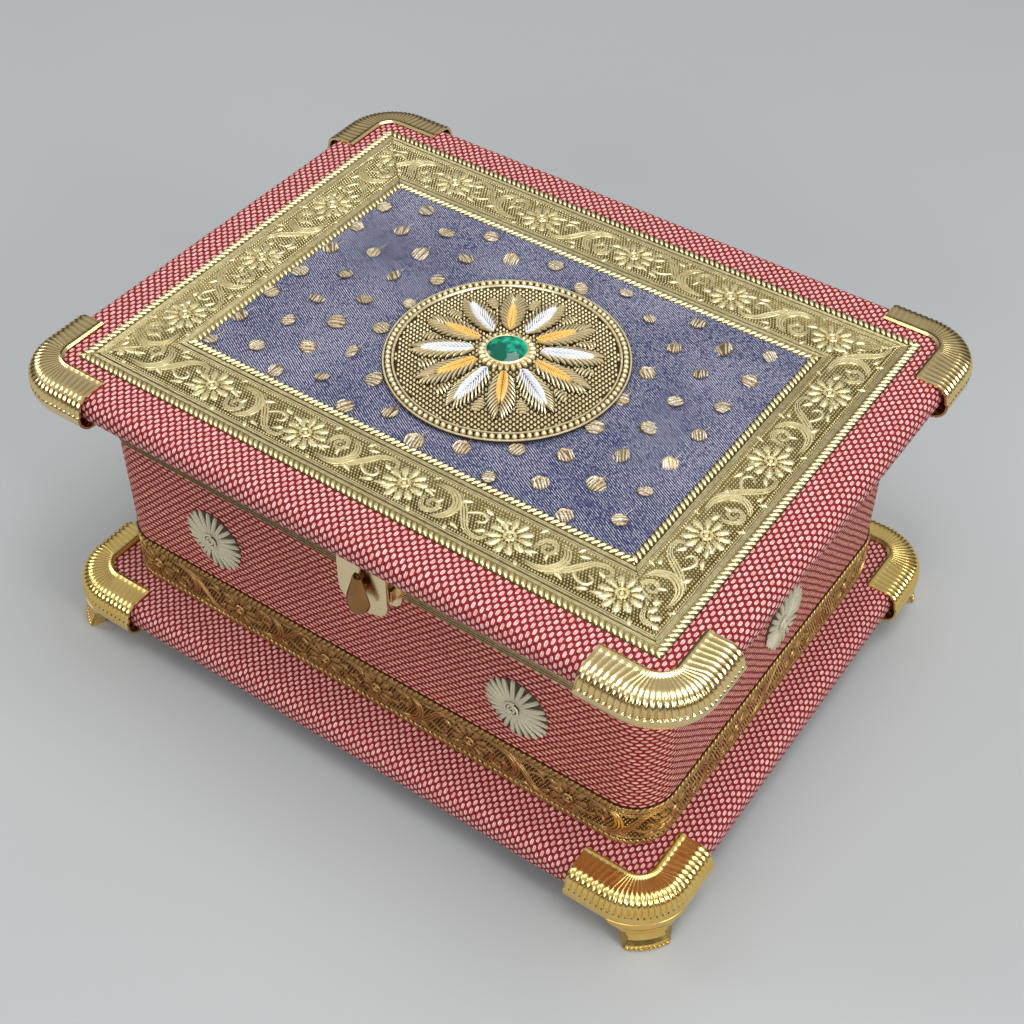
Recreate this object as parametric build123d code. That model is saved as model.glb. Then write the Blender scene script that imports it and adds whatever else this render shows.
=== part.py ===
from build123d import *

import math
import os

# Fabric-covered gift and jewellery box on a footed plinth, with a hinged lid.
# Millimetres. Origin: centre of the footprint on the table, +Z up.
# The clasp side faces -Y, the hinges +Y, and +X is to the right of the clasp.

cut_spare = 1.0              # how far a cut runs past the face that it opens
edge_share = 0.46            # largest bullnose radius, as a share of a slab's thickness

# --- walls of the box ---
body_length = 201.6          # outside of the fabric, left to right
body_depth = 144.4           # outside of the fabric, front to back
body_corner_radius = 13.0
wall_height = 79.0           # from the plinth's top to the lid's underside
wall_board = 6.0             # thickness of the wall boards
fabric_thickness = 0.7
lining_thickness = 0.8
floor_pad_thickness = 2.0
floor_pad_clearance = 0.3
closing_gap = 0.3            # air between the rim and the shut lid

# --- plinth and lid slabs, which share one outline ---
side_overhang = 12.9         # slab past the wall, left and right
front_overhang = 15.6        # slab past the wall, front and back
slab_corner_radius = 15.0
slab_edge_radius = 4.8       # bullnose of the wrapped edge
plinth_thickness = 11.6
lid_thickness = 10.5
hem_width = 30.0             # fabric turned under the slab
foot_height = 9.0            # plinth's underside above the table
lid_pad_thickness = 2.8
lid_pad_clearance = 1.6      # lid pad to the lining, all round

# --- embossed foil ---
border_margin = 13.5         # slab's edge to the border on the lid
border_width = 25.6          # front and back strips
border_end_width = 24.4      # left and right strips
border_thickness = 1.0
brocade_thickness = 0.5
top_trim_height = 21.2       # at the middle of the front
top_trim_thickness = 0.8
top_trim_tilt = 0.5          # degrees that the hand-laid strip is out of level
band_height = 17.5
band_thickness = 0.9

# --- stamped corner guards ---
guard_standoff = 3.0         # guard past the slab's edge
guard_sheet = 0.7
guard_arm = 31.5             # length along each side, from the guard's corner
guard_width = 12.1           # width of the flange on the slab
guard_corner_radius = 19.1
guard_edge_radius = 5.2
guard_notch_radius = 5.0
guard_lip_width = 2.0
guard_lip_height = 0.5
foot_span = 45.0             # degrees of the corner arc that the toe takes
foot_flare_span = 66.0       # degrees where the foot leaves the guard
foot_depth = 4.0             # radial thickness of the foot
foot_step = 0.6
foot_upper_step = 6.0        # above the table
foot_lower_step = 4.0
toe_flare = 1.5              # toe past the guard's corner
toe_height = 1.8

# --- thread sunbursts ---
motif_radius = 12.0
motif_ground = 0.7
motif_ground_inset = 0.6     # rays past the ground's edge
motif_ray_count = 24
motif_ray_width = 1.3
motif_ray_height = 0.8
motif_hub_radius = 3.0
motif_hub_height = 0.8
motif_from_end = 44.3        # wall's end to the centre of a sunburst
motif_rise = 36.4            # plinth's top to the centre of a sunburst

# --- medallion ---
medallion_radius = 36.8
medallion_shift = 3.7        # to the right of the lid's centre, as laid by hand
medallion_forward = 3.0      # in front of the lid's centre
medallion_plate = 1.2
medallion_rim_width = 3.6
medallion_rim_height = 1.4
medallion_rise = 1.6         # how far the middle is domed
petal_count = 12
petal_inner = 10.0
petal_outer = 29.0
petal_width = 6.4
petal_thickness = 0.9
bezel_radius = 8.0
bezel_wall = 1.8
bezel_height = 2.2
stone_height = 2.8
stone_table_radius = 3.6

# --- lid hinges ---
hinge_from_end = 40.0        # wall's end to the middle of a hinge
hinge_width = 24.0
hinge_leaf = 0.8
hinge_leaf_drop = 11.0       # body leaf, below the pin
hinge_leaf_reach = 6.9       # lid leaf, behind the pin
hinge_knuckle_radius = 1.9
hinge_pin_radius = 0.9
hinge_offset = 2.2           # pin to the trim, and pin to the lid's underside
hinge_knuckles = 5
running_clearance = 0.05
knuckle_gap = 0.3
hinge_screw_spacing = 16.0
hinge_body_screw_drop = 7.0
hinge_lid_screw_reach = 4.6
screw_shank_radius = 0.8
screw_head_radius = 1.6
screw_length = 5.0

# --- clasp ---
clasp_shift = 7.5            # to the right of the middle of the front
clasp_width = 17.4
clasp_sheet = 1.0
clasp_knuckle_radius = 1.6
clasp_pin_radius = 0.7
clasp_knuckles = 5
clasp_offset = 1.9           # pin below the lid
clasp_standoff = 5.1         # pin in front of the trim
clasp_leaf_reach = 4.9       # fixed leaf, in front of the pin
clasp_flap_drop = 25.2       # pin to the flap's lower end
clasp_flap_round = 6.0
clasp_screw_spacing = 11.0
clasp_screw_reach = 3.3
clasp_screw_head_radius = 1.2
clasp_screw_shank_radius = 0.6
turn_drop = 15.7             # pin to the turn leaf's spindle
turn_length = 14.0
turn_narrow = 3.2            # width at the upper end
turn_wide = 8.4              # width at the lower end
turn_depth = 5.4             # how far the wide end stands out
turn_narrow_depth = 2.2
turn_gap = 0.3               # turn leaf to the flap
spindle_radius = 1.5
cam_length = 14.0
cam_width = 3.6
cam_sheet = 1.0
cam_gap = 0.3                # cam to the keeper's hooks
keeper_width = 20.6
keeper_height = 16.0
keeper_sheet = 1.0
keeper_round = 5.0
hook_height = 4.4
hook_wall = 1.0
hook_inset = 1.0             # keeper's edge to the hook
hook_lip = 3.8
flap_gap = 0.4               # flap to the keeper's hooks
keeper_screw_rise = 5.4

# --- levels and outlines worked out from the sizes above ---
slab_length = body_length + 2 * side_overhang
slab_depth = body_depth + 2 * front_overhang
plinth_top = foot_height + plinth_thickness
lid_bottom = plinth_top + wall_height
lid_top = lid_bottom + lid_thickness
rim_top = lid_bottom - closing_gap
board_length = body_length - 2 * fabric_thickness
board_depth = body_depth - 2 * fabric_thickness
board_radius = body_corner_radius - fabric_thickness
inner_length = board_length - 2 * wall_board
inner_depth = board_depth - 2 * wall_board
lined_length = inner_length - 2 * lining_thickness
lined_depth = inner_depth - 2 * lining_thickness
board_top = rim_top - fabric_thickness
border_length = slab_length - 2 * border_margin
border_depth = slab_depth - 2 * border_margin
window_length = border_length - 2 * border_end_width
window_depth = border_depth - 2 * border_width
brocade_top = lid_top + brocade_thickness
trim_front = body_depth / 2 + top_trim_thickness
trim_low = rim_top - top_trim_height
hinge_y = trim_front + hinge_offset
hinge_z = lid_bottom - hinge_offset
hinge_x = body_length / 2 - hinge_from_end
clasp_y = -(trim_front + clasp_standoff)
clasp_z = lid_bottom - clasp_offset
turn_z = clasp_z - turn_drop
keeper_front = clasp_standoff - keeper_sheet
hook_front = clasp_sheet / 2 + flap_gap
cam_front = hook_front + hook_wall + cam_gap

solids = {}


def prism(length, depth, radius, low, high):
    """Upright block with rounded vertical corners, between two levels."""
    plan = RectangleRounded(length, depth, radius)
    return Pos(0, 0, low) * extrude(plan, high - low)


def block(x_low, x_high, y_low, y_high, z_low, z_high):
    """Square block between two corners."""
    middle = ((x_low + x_high) / 2, (y_low + y_high) / 2, (z_low + z_high) / 2)
    return Pos(*middle) * Box(x_high - x_low, y_high - y_low, z_high - z_low)


def rounded_slab(length, depth, radius, edge, low, high):
    """Slab with rounded corners and a bullnose edge."""
    slab = prism(length, depth, radius, low, high)
    edge = min(edge, edge_share * (high - low))
    flats = slab.faces().sort_by(Axis.Z)
    return fillet(flats[0].edges() + flats[-1].edges(), edge)


def round_bar(radius, start, end):
    """Solid round bar between two points."""
    path = Vector(*end) - Vector(*start)
    plane = Plane(origin=start, z_dir=path)
    return plane * extrude(Circle(radius), path.length)


def slab_board(low, high):
    """Board inside a wrapped slab."""
    inset = 2 * fabric_thickness
    radius = slab_corner_radius - fabric_thickness
    edge = slab_edge_radius - fabric_thickness
    return rounded_slab(slab_length - inset, slab_depth - inset, radius, edge,
                        low + fabric_thickness, high - fabric_thickness)


def hem_window(low):
    """What the turned-under fabric leaves open on a slab's underside."""
    return prism(slab_length - 2 * hem_width, slab_depth - 2 * hem_width, slab_corner_radius,
                 low, low + fabric_thickness)


def slab_cover(low, high):
    """Fabric over a slab's top and edges, turned under by the hem."""
    cover = rounded_slab(slab_length, slab_depth, slab_corner_radius, slab_edge_radius, low, high)
    return cover - slab_board(low, high) - hem_window(low)


# --- the box's boards, fabric and lining ---

def wall_boards():
    """Four wall boards: front and back run full length, the sides fit between."""
    outer = prism(board_length, board_depth, board_radius, plinth_top, board_top)
    half_length = board_length / 2
    half_depth = board_depth / 2
    reach = half_depth - wall_board
    front = outer & block(-half_length, half_length, -half_depth, -reach, plinth_top, board_top)
    back = outer & block(-half_length, half_length, reach, half_depth, plinth_top, board_top)
    left = outer & block(-half_length, wall_board - half_length, -reach, reach, plinth_top, board_top)
    right = outer & block(half_length - wall_board, half_length, -reach, reach, plinth_top, board_top)
    return front, back, left, right


def body_wrap():
    """Fabric round the walls, turned over their top edge."""
    outside = prism(body_length, body_depth, body_corner_radius, plinth_top, rim_top)
    outside -= prism(board_length, board_depth, board_radius, plinth_top - cut_spare, board_top)
    return outside - block(-lined_length / 2, lined_length / 2, -lined_depth / 2, lined_depth / 2,
                           plinth_top - cut_spare, rim_top + cut_spare)


def wall_lining():
    """Velvet lining inside the walls."""
    outer = block(-inner_length / 2, inner_length / 2, -inner_depth / 2, inner_depth / 2,
                  plinth_top, board_top)
    return outer - block(-lined_length / 2, lined_length / 2, -lined_depth / 2, lined_depth / 2,
                         plinth_top - cut_spare, board_top + cut_spare)


def floor_pad():
    """Velvet-covered card on the floor."""
    half_length = lined_length / 2 - floor_pad_clearance
    half_depth = lined_depth / 2 - floor_pad_clearance
    return block(-half_length, half_length, -half_depth, half_depth,
                 plinth_top, plinth_top + floor_pad_thickness)


def lid_pad():
    """Velvet-covered card under the lid, seated in the hem's window."""
    half_length = lined_length / 2 - lid_pad_clearance
    half_depth = lined_depth / 2 - lid_pad_clearance
    pad = block(-half_length, half_length, -half_depth, half_depth,
                lid_bottom - lid_pad_thickness, lid_bottom)
    return pad + hem_window(lid_bottom)


def wall_strip(thickness, low, high):
    """Foil strip round the outside of the walls."""
    outer = prism(body_length + 2 * thickness, body_depth + 2 * thickness,
                  body_corner_radius + thickness, low, high)
    return outer - prism(body_length, body_depth, body_corner_radius, low - cut_spare, high + cut_spare)


def top_trim():
    """Embossed strip under the rim, a little out of level along the front."""
    strip = wall_strip(top_trim_thickness, plinth_top + band_height, rim_top)
    below = Pos(0, 0, -wall_height / 2) * Box(2 * body_length, 2 * body_depth, wall_height)
    return strip - Pos(0, 0, trim_low) * Rot(0, top_trim_tilt, 0) * below


def bottom_band():
    """Embossed strip round the foot of the walls."""
    return wall_strip(band_thickness, plinth_top, plinth_top + band_height)


# --- corner guards ---

def guard_plan(grow):
    """L-shaped plan of one guard at the +X +Y corner, with its notch grown."""
    far_x = slab_length / 2 + guard_standoff
    far_y = slab_depth / 2 + guard_standoff
    leg_size = guard_arm + cut_spare
    leg_centre = (guard_arm - cut_spare) / 2
    leg = Pos(far_x - leg_centre, far_y - leg_centre) * Rectangle(leg_size, leg_size)
    notch_size = 2 * guard_arm
    notch = RectangleRounded(notch_size, notch_size, guard_notch_radius + grow)
    shift = guard_width + notch_size / 2 - grow
    return leg, Pos(far_x - shift, far_y - shift) * notch


def guard_shell(low, high):
    """Stamped channel round one corner of a slab, ribbed and lipped."""
    length = slab_length + 2 * guard_standoff
    depth = slab_depth + 2 * guard_standoff
    inset = 2 * guard_sheet
    shell = rounded_slab(length, depth, guard_corner_radius, guard_edge_radius,
                         low - guard_sheet, high + guard_sheet)
    shell -= rounded_slab(length - inset, depth - inset, guard_corner_radius - guard_sheet,
                          guard_edge_radius - guard_sheet, low, high)
    leg, notch = guard_plan(0)
    tall = high - low + 4 * guard_sheet
    shell &= Pos(0, 0, low - 2 * guard_sheet) * extrude(leg - notch, tall)
    wide_notch = guard_plan(guard_lip_width)[1]
    lip = Pos(0, 0, high + guard_sheet) * extrude((leg & wide_notch) - notch, guard_lip_height)
    return shell + lip


def guard_foot(low):
    """Stepped foot with a flared toe, turned about the guard's corner arc."""
    centre_x = slab_length / 2 + guard_standoff - guard_corner_radius
    centre_y = slab_depth / 2 + guard_standoff - guard_corner_radius
    base = low - guard_sheet
    edge_centre = guard_corner_radius - guard_edge_radius
    mid_radius = guard_edge_radius - guard_sheet / 2
    curl_z = base + guard_edge_radius
    inner = guard_corner_radius - foot_depth
    # the foot's head follows the middle of the guard's curled sheet
    start = math.asin((inner - edge_centre) / mid_radius)
    head = []
    for turn in (start, (start + math.pi / 2) / 2, math.pi / 2):
        head.append((edge_centre + mid_radius * math.sin(turn), curl_z - mid_radius * math.cos(turn)))
    outer = head[2][0]
    neck = outer - foot_step
    toe = guard_corner_radius + toe_flare
    profile = Polyline(head[2], (outer, foot_upper_step), (neck, foot_upper_step),
                       (neck, foot_lower_step), (neck - foot_step, foot_lower_step),
                       (toe, toe_height), (toe, 0), (inner, 0), head[0])
    profile += ThreePointArc(head[0], head[1], head[2])
    section = make_face(profile)
    above = Rectangle(2 * foot_depth, 2 * (base - foot_lower_step))
    flare_section = section & Pos(outer, base) * above

    def turned(face, span):
        start_angle = math.radians(45 - span / 2)
        across = (math.cos(start_angle), math.sin(start_angle), 0)
        normal = (math.sin(start_angle), -math.cos(start_angle), 0)
        plane = Plane(origin=(centre_x, centre_y, 0), x_dir=across, z_dir=normal)
        axis = Axis((centre_x, centre_y, 0), (0, 0, 1))
        return revolve(plane * face, axis, span)

    return turned(section, foot_span) + turned(flare_section, foot_flare_span)


def four_corners(name, guard):
    """The same guard at all four corners."""
    across = mirror(guard, Plane.YZ)
    solids[name + "_back_right"] = guard
    solids[name + "_back_left"] = across
    solids[name + "_front_right"] = mirror(guard, Plane.XZ)
    solids[name + "_front_left"] = mirror(across, Plane.XZ)


# --- thread sunbursts ---

def sunburst(plane):
    """Round ground with padded thread rays and a coiled hub, sewn to a wall."""
    patch = extrude(Circle(motif_radius - motif_ground_inset), motif_ground)
    ray_length = motif_radius - motif_hub_radius / 2
    ray = Pos(motif_hub_radius / 2 + ray_length / 2, 0) * Rectangle(ray_length, motif_ray_width)
    rays = Sketch() + [Rot(0, 0, i * 360 / motif_ray_count) * ray for i in range(motif_ray_count)]
    patch += extrude(rays, motif_ground + motif_ray_height)
    patch += extrude(Circle(motif_hub_radius), motif_ground + motif_ray_height + motif_hub_height)
    return plane * patch


def add_sunbursts():
    """Two on the front, two on the back and one on each side."""
    level = plinth_top + motif_rise
    x = body_length / 2 - motif_from_end
    y = body_depth / 2
    front = (0, -1, 0)
    back = (0, 1, 0)
    places = {
        "sunburst_front_left": ((-x, -y, level), front),
        "sunburst_front_right": ((x, -y, level), front),
        "sunburst_back_left": ((-x, y, level), back),
        "sunburst_back_right": ((x, y, level), back),
        "sunburst_left": ((-body_length / 2, 0, level), (-1, 0, 0)),
        "sunburst_right": ((body_length / 2, 0, level), (1, 0, 0)),
    }
    for name, (origin, normal) in places.items():
        solids[name] = sunburst(Plane(origin=origin, z_dir=normal))


# --- lid dressing ---

def border_strip(corners):
    """One mitred strip of the embossed border."""
    face = make_face(Polyline(*corners, close=True))
    return Pos(0, 0, lid_top) * extrude(face, border_thickness)


def add_border():
    """Four strips mitred at the corners."""
    x = border_length / 2
    y = border_depth / 2
    inner_x = x - border_end_width
    inner_y = y - border_width
    solids["border_front"] = border_strip([(-x, -y), (x, -y), (inner_x, -inner_y), (-inner_x, -inner_y)])
    solids["border_back"] = border_strip([(x, y), (-x, y), (-inner_x, inner_y), (inner_x, inner_y)])
    solids["border_left"] = border_strip([(-x, y), (-x, -y), (-inner_x, -inner_y), (-inner_x, inner_y)])
    solids["border_right"] = border_strip([(x, -y), (x, y), (inner_x, inner_y), (inner_x, -inner_y)])


def dome_height(radius):
    """Height of the medallion's face above the brocade, at a radius."""
    ground_radius = medallion_radius - medallion_rim_width
    share = (ground_radius - radius) / (ground_radius - bezel_radius)
    return medallion_plate + medallion_rise * max(0, min(1, share))


def medallion_plate_solid():
    """Pressed brass disc: raised rim, and a face that rises to the middle."""
    ground = medallion_radius - medallion_rim_width
    rim_top_height = medallion_plate + medallion_rim_height
    profile = Polyline((0, 0), (medallion_radius, 0), (medallion_radius, rim_top_height),
                       (ground, rim_top_height), (ground, dome_height(ground)),
                       (bezel_radius, dome_height(bezel_radius)), (0, dome_height(0)), close=True)
    return revolve(Plane.XZ * make_face(profile), Axis.Z)


def petal_band():
    """Layer of enamel thickness that lies on the medallion's rising face."""
    near = petal_inner - cut_spare
    far = petal_outer + cut_spare
    profile = Polyline((near, dome_height(near)), (far, dome_height(far)),
                       (far, dome_height(far) + petal_thickness),
                       (near, dome_height(near) + petal_thickness), close=True)
    return revolve(Plane.XZ * make_face(profile), Axis.Z)


def petals(first):
    """Every second petal, from the first."""
    length = petal_outer - petal_inner
    bow = (length ** 2 + petal_width ** 2) / (4 * petal_width)
    offset = bow - petal_width / 2
    leaf = Pos(0, offset) * Circle(bow) & Pos(0, -offset) * Circle(bow)
    leaf = Pos((petal_outer + petal_inner) / 2, 0) * leaf
    column = extrude(leaf, medallion_plate + medallion_rise + 2 * petal_thickness)
    band = petal_band()
    step = 360 / petal_count
    return Part() + [Rot(0, 0, i * step) * (column & band) for i in range(first, petal_count, 2)]


def stone():
    """Faceted green stone, held by the bezel."""
    seat = bezel_radius - bezel_wall
    low = Plane((0, 0, dome_height(0)))
    girdle = low * extrude(RegularPolygon(seat, 12), bezel_height * 0.6)
    crown_low = low.offset(bezel_height * 0.6)
    crown = loft([crown_low * RegularPolygon(seat, 12),
                  low.offset(stone_height) * RegularPolygon(stone_table_radius, 12)])
    return girdle + crown


def bezel():
    """Ring of claws round the stone."""
    seat = bezel_radius - bezel_wall
    ring = extrude(Circle(bezel_radius) - Circle(seat), bezel_height)
    return Pos(0, 0, dome_height(0)) * ring


def add_medallion():
    """Medallion stuck on the brocade."""
    place = Pos(medallion_shift, -medallion_forward, brocade_top)
    solids["medallion_plate"] = place * medallion_plate_solid()
    solids["medallion_amber_petals"] = place * petals(0)
    solids["medallion_white_petals"] = place * petals(1)
    solids["medallion_bezel"] = place * bezel()
    solids["medallion_stone"] = place * stone()


# --- hinges and clasp ---

def hinge_half(width, count, first, radius, pin_radius, offset, sheet, reach):
    """Leaf with every second knuckle of a barrel along X; the leaf runs to +Y."""
    pitch = width / count
    room = radius + knuckle_gap
    side_gap = knuckle_gap / 2
    half = block(-width / 2, width / 2, 0, reach, offset - sheet, offset)
    for i in range(count):
        start = i * pitch - width / 2
        if i % 2 == first:
            half += round_bar(radius, (start + side_gap, 0, 0), (start + pitch - side_gap, 0, 0))
        else:
            half -= block(start - side_gap, start + pitch + side_gap, -room, room, -room, room)
    return half - round_bar(pin_radius + running_clearance, (-width, 0, 0), (width, 0, 0))


def screw(plane, head_radius, shank_radius, length):
    """Countersunk screw driven against the plane's normal, head flush with the plane."""
    sink = head_radius - shank_radius
    head = Pos(0, 0, -sink / 2) * Cone(shank_radius, head_radius, sink)
    shank = Pos(0, 0, -length / 2) * Cylinder(shank_radius, length)
    return plane * (head + shank)


def add_hinge(side, x):
    """Butt hinge on the back: a leaf on the trim, a leaf under the lid, and the pin."""
    at = Pos(x, hinge_y, hinge_z)
    lid_leaf = hinge_half(hinge_width, hinge_knuckles, 1, hinge_knuckle_radius, hinge_pin_radius,
                          hinge_offset, hinge_leaf, hinge_leaf_reach)
    body_leaf = hinge_half(hinge_width, hinge_knuckles, 0, hinge_knuckle_radius, hinge_pin_radius,
                           hinge_offset, hinge_leaf, hinge_leaf_drop)
    body_leaf = mirror(body_leaf, Plane(origin=(0, 0, 0), z_dir=(0, 1, 1)))
    pin = round_bar(hinge_pin_radius, (-hinge_width / 2, 0, 0), (hinge_width / 2, 0, 0))
    solids["hinge_body_leaf_" + side] = at * body_leaf
    solids["hinge_lid_leaf_" + side] = at * lid_leaf
    solids["hinge_pin_" + side] = at * pin


def hinge_screws():
    """Two screws in each leaf: first those of the walls, then those of the lid."""
    wall_screws = []
    lid_screws = []
    for x in (-hinge_x, hinge_x):
        for across in (-hinge_screw_spacing / 2, hinge_screw_spacing / 2):
            wall_at = Plane(origin=(x + across, trim_front + hinge_leaf, hinge_z - hinge_body_screw_drop),
                            z_dir=(0, 1, 0))
            lid_at = Plane(origin=(x + across, hinge_y + hinge_lid_screw_reach, lid_bottom - hinge_leaf),
                           z_dir=(0, 0, -1))
            wall_screws.append(screw(wall_at, screw_head_radius, screw_shank_radius, screw_length))
            lid_screws.append(screw(lid_at, screw_head_radius, screw_shank_radius, screw_length))
    return wall_screws, lid_screws


def clasp_flap():
    """Flap that hangs from the clasp's pin in front of the keeper."""
    flap = hinge_half(clasp_width, clasp_knuckles, 1, clasp_knuckle_radius, clasp_pin_radius,
                      clasp_sheet / 2, clasp_sheet, clasp_flap_drop)
    middle = clasp_flap_drop / 2
    outline = Pos(0, middle) * RectangleRounded(clasp_width, 2 * middle, clasp_flap_round)
    squared = Rectangle(clasp_width, middle + 2 * clasp_knuckle_radius)
    outline += Pos(0, middle / 2 - clasp_knuckle_radius) * squared
    flap &= Pos(0, 0, -clasp_knuckle_radius) * extrude(outline, 2 * clasp_knuckle_radius)
    flap -= Pos(0, turn_drop) * Cylinder(spindle_radius + running_clearance, 4 * clasp_sheet)
    return Rot(-90, 0, 0) * flap


def turn_leaf():
    """Hooded thumb leaf, narrow above and flared below, on its spindle."""
    front = -clasp_sheet / 2 - turn_gap
    ends = []
    front_half = Pos(0, -turn_depth) * Rectangle(2 * turn_wide, 2 * turn_depth)
    upper_end = (turn_length / 2, turn_narrow, turn_narrow_depth)
    lower_end = (-turn_length / 2, turn_wide, turn_depth)
    for level, width, depth in (upper_end, lower_end):
        arch = Ellipse(width / 2, depth) & front_half
        ends.append(Pos(0, front, level) * arch)
    leaf = loft(ends)
    rear = front - turn_narrow_depth / 2
    behind = cam_front + cam_sheet
    spindle = round_bar(spindle_radius, (0, rear, 0), (0, behind, 0))
    return Pos(0, 0, -turn_drop) * (leaf + spindle)


def cam_bar():
    """Bar riveted on the spindle behind the flap; across, it sits behind the keeper's hooks."""
    bar = Plane.XZ * SlotOverall(cam_length, cam_width)
    bar = Rot(0, 90, 0) * extrude(bar, -cam_sheet)
    bar -= round_bar(spindle_radius, (0, -cam_sheet, 0), (0, 2 * cam_sheet, 0))
    return Pos(0, cam_front, -turn_drop) * bar


def keeper_plate():
    """Plate on the trim with two hooks bent forward and in."""
    plate = Plane.XZ * RectangleRounded(keeper_width, keeper_height, keeper_round)
    plate = Pos(0, keeper_front, 0) * extrude(plate, -keeper_sheet)
    edge = keeper_width / 2 - hook_inset
    for side in (-1, 1):
        wall_x = sorted((side * edge, side * (edge - hook_wall)))
        lip_x = sorted((side * edge, side * (edge - hook_lip)))
        plate += block(wall_x[0], wall_x[1], hook_front, keeper_front, -hook_height / 2, hook_height / 2)
        plate += block(lip_x[0], lip_x[1], hook_front, hook_front + hook_wall,
                       -hook_height / 2, hook_height / 2)
    return Pos(0, 0, -turn_drop) * plate


def add_clasp():
    """Clasp on the front, drawn about its pin and then set in place."""
    at = Pos(clasp_shift, clasp_y, clasp_z)
    fixed = hinge_half(clasp_width, clasp_knuckles, 0, clasp_knuckle_radius, clasp_pin_radius,
                       clasp_offset, clasp_sheet, clasp_leaf_reach)
    pin = round_bar(clasp_pin_radius, (-clasp_width / 2, 0, 0), (clasp_width / 2, 0, 0))
    solids["clasp_lid_leaf"] = at * mirror(fixed, Plane.XZ)
    solids["clasp_pin"] = at * pin
    solids["clasp_flap"] = at * clasp_flap()
    solids["clasp_turn_leaf"] = at * turn_leaf()
    solids["clasp_cam_bar"] = at * cam_bar()
    solids["clasp_keeper"] = at * keeper_plate()


def clasp_screws():
    """Two small screws through the lid leaf, and two through the keeper."""
    lid_screws = []
    keeper_screws = []
    for side in (-1, 1):
        lid_at = Plane(origin=(clasp_shift + side * clasp_screw_spacing / 2, clasp_y - clasp_screw_reach,
                               lid_bottom - clasp_sheet), z_dir=(0, 0, -1))
        keeper_at = Plane(origin=(clasp_shift, clasp_y + keeper_front, turn_z + side * keeper_screw_rise),
                          z_dir=(0, -1, 0))
        for screws, place in ((lid_screws, lid_at), (keeper_screws, keeper_at)):
            screws.append(screw(place, clasp_screw_head_radius, clasp_screw_shank_radius, screw_length))
    return lid_screws, keeper_screws


# --- putting the box together ---

solids["plinth_board"] = slab_board(foot_height, plinth_top)
solids["plinth_fabric_cover"] = slab_cover(foot_height, plinth_top)
solids["plinth_base_paper"] = hem_window(foot_height)
front_board, back_board, left_board, right_board = wall_boards()
solids["front_wall_board"] = front_board
solids["back_wall_board"] = back_board
solids["left_wall_board"] = left_board
solids["right_wall_board"] = right_board
solids["body_fabric_wrap"] = body_wrap()
solids["wall_lining"] = wall_lining()
solids["floor_lining_pad"] = floor_pad()
solids["body_bottom_band"] = bottom_band()
solids["body_top_trim"] = top_trim()
four_corners("plinth_guard", guard_shell(foot_height, plinth_top) + guard_foot(foot_height))
add_sunbursts()

solids["lid_board"] = slab_board(lid_bottom, lid_top)
solids["lid_fabric_cover"] = slab_cover(lid_bottom, lid_top)
solids["lid_lining_pad"] = lid_pad()
solids["lid_brocade_panel"] = block(-window_length / 2, window_length / 2,
                                    -window_depth / 2, window_depth / 2, lid_top, brocade_top)
add_border()
add_medallion()
four_corners("lid_guard", guard_shell(lid_bottom, lid_top))

add_hinge("left", -hinge_x)
add_hinge("right", hinge_x)
add_clasp()

wall_screws, lid_hinge_screws = hinge_screws()
clasp_lid_screws, clasp_keeper_screws = clasp_screws()
screw_groups = {
    "hinge_body_screws": (wall_screws, ["hinge_body_leaf_left", "hinge_body_leaf_right", "body_top_trim",
                                        "body_fabric_wrap", "back_wall_board"]),
    "hinge_lid_screws": (lid_hinge_screws, ["hinge_lid_leaf_left", "hinge_lid_leaf_right", "lid_fabric_cover",
                                            "lid_board"]),
    "clasp_lid_screws": (clasp_lid_screws, ["clasp_lid_leaf", "lid_fabric_cover", "lid_board"]),
    "clasp_keeper_screws": (clasp_keeper_screws, ["clasp_keeper", "body_top_trim", "body_fabric_wrap",
                                                  "front_wall_board"]),
}
for name, (screws, drilled) in screw_groups.items():
    for piece in drilled:
        for one in screws:
            solids[piece] -= one
    solids[name] = Part() + screws

os.makedirs("parts", exist_ok=True)
for name, shape in solids.items():
    export_step(shape, "parts/" + name + ".step")
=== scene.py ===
import math

import bpy
import numpy as np
from mathutils import Matrix, Vector


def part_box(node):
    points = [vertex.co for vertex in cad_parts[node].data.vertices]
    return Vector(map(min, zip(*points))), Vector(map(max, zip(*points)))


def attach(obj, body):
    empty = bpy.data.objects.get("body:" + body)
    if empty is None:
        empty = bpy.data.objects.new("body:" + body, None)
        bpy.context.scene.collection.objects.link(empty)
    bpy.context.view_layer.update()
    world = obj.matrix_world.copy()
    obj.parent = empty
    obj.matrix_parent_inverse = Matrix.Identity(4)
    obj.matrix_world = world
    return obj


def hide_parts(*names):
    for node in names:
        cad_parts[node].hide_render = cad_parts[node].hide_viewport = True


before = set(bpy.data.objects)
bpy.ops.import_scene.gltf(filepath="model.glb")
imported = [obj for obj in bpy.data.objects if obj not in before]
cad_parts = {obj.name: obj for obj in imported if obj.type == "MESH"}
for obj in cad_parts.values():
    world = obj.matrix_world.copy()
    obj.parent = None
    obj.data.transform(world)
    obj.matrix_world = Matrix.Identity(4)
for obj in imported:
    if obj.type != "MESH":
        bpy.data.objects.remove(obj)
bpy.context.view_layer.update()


# --- Table and backdrop ---
# A pale matt sheet that lies flat under the box. It takes the box's soft shadow and is no part of the object.

def clear_selection():
    if bpy.context.mode != "OBJECT":
        bpy.ops.object.mode_set(mode="OBJECT")
    bpy.ops.object.select_all(action="DESELECT")


def pick(piece):
    """Makes a piece the only selected and active one."""
    clear_selection()
    piece.select_set(True)
    bpy.context.view_layer.objects.active = piece
    return piece


def named(name):
    """Names the piece that was just added."""
    piece = bpy.context.active_object
    piece.name = piece.data.name = name
    return piece


def add(primitive, name, **settings):
    """Adds a primitive at its size and place."""
    clear_selection()
    primitive(**settings)
    return named(name)


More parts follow.
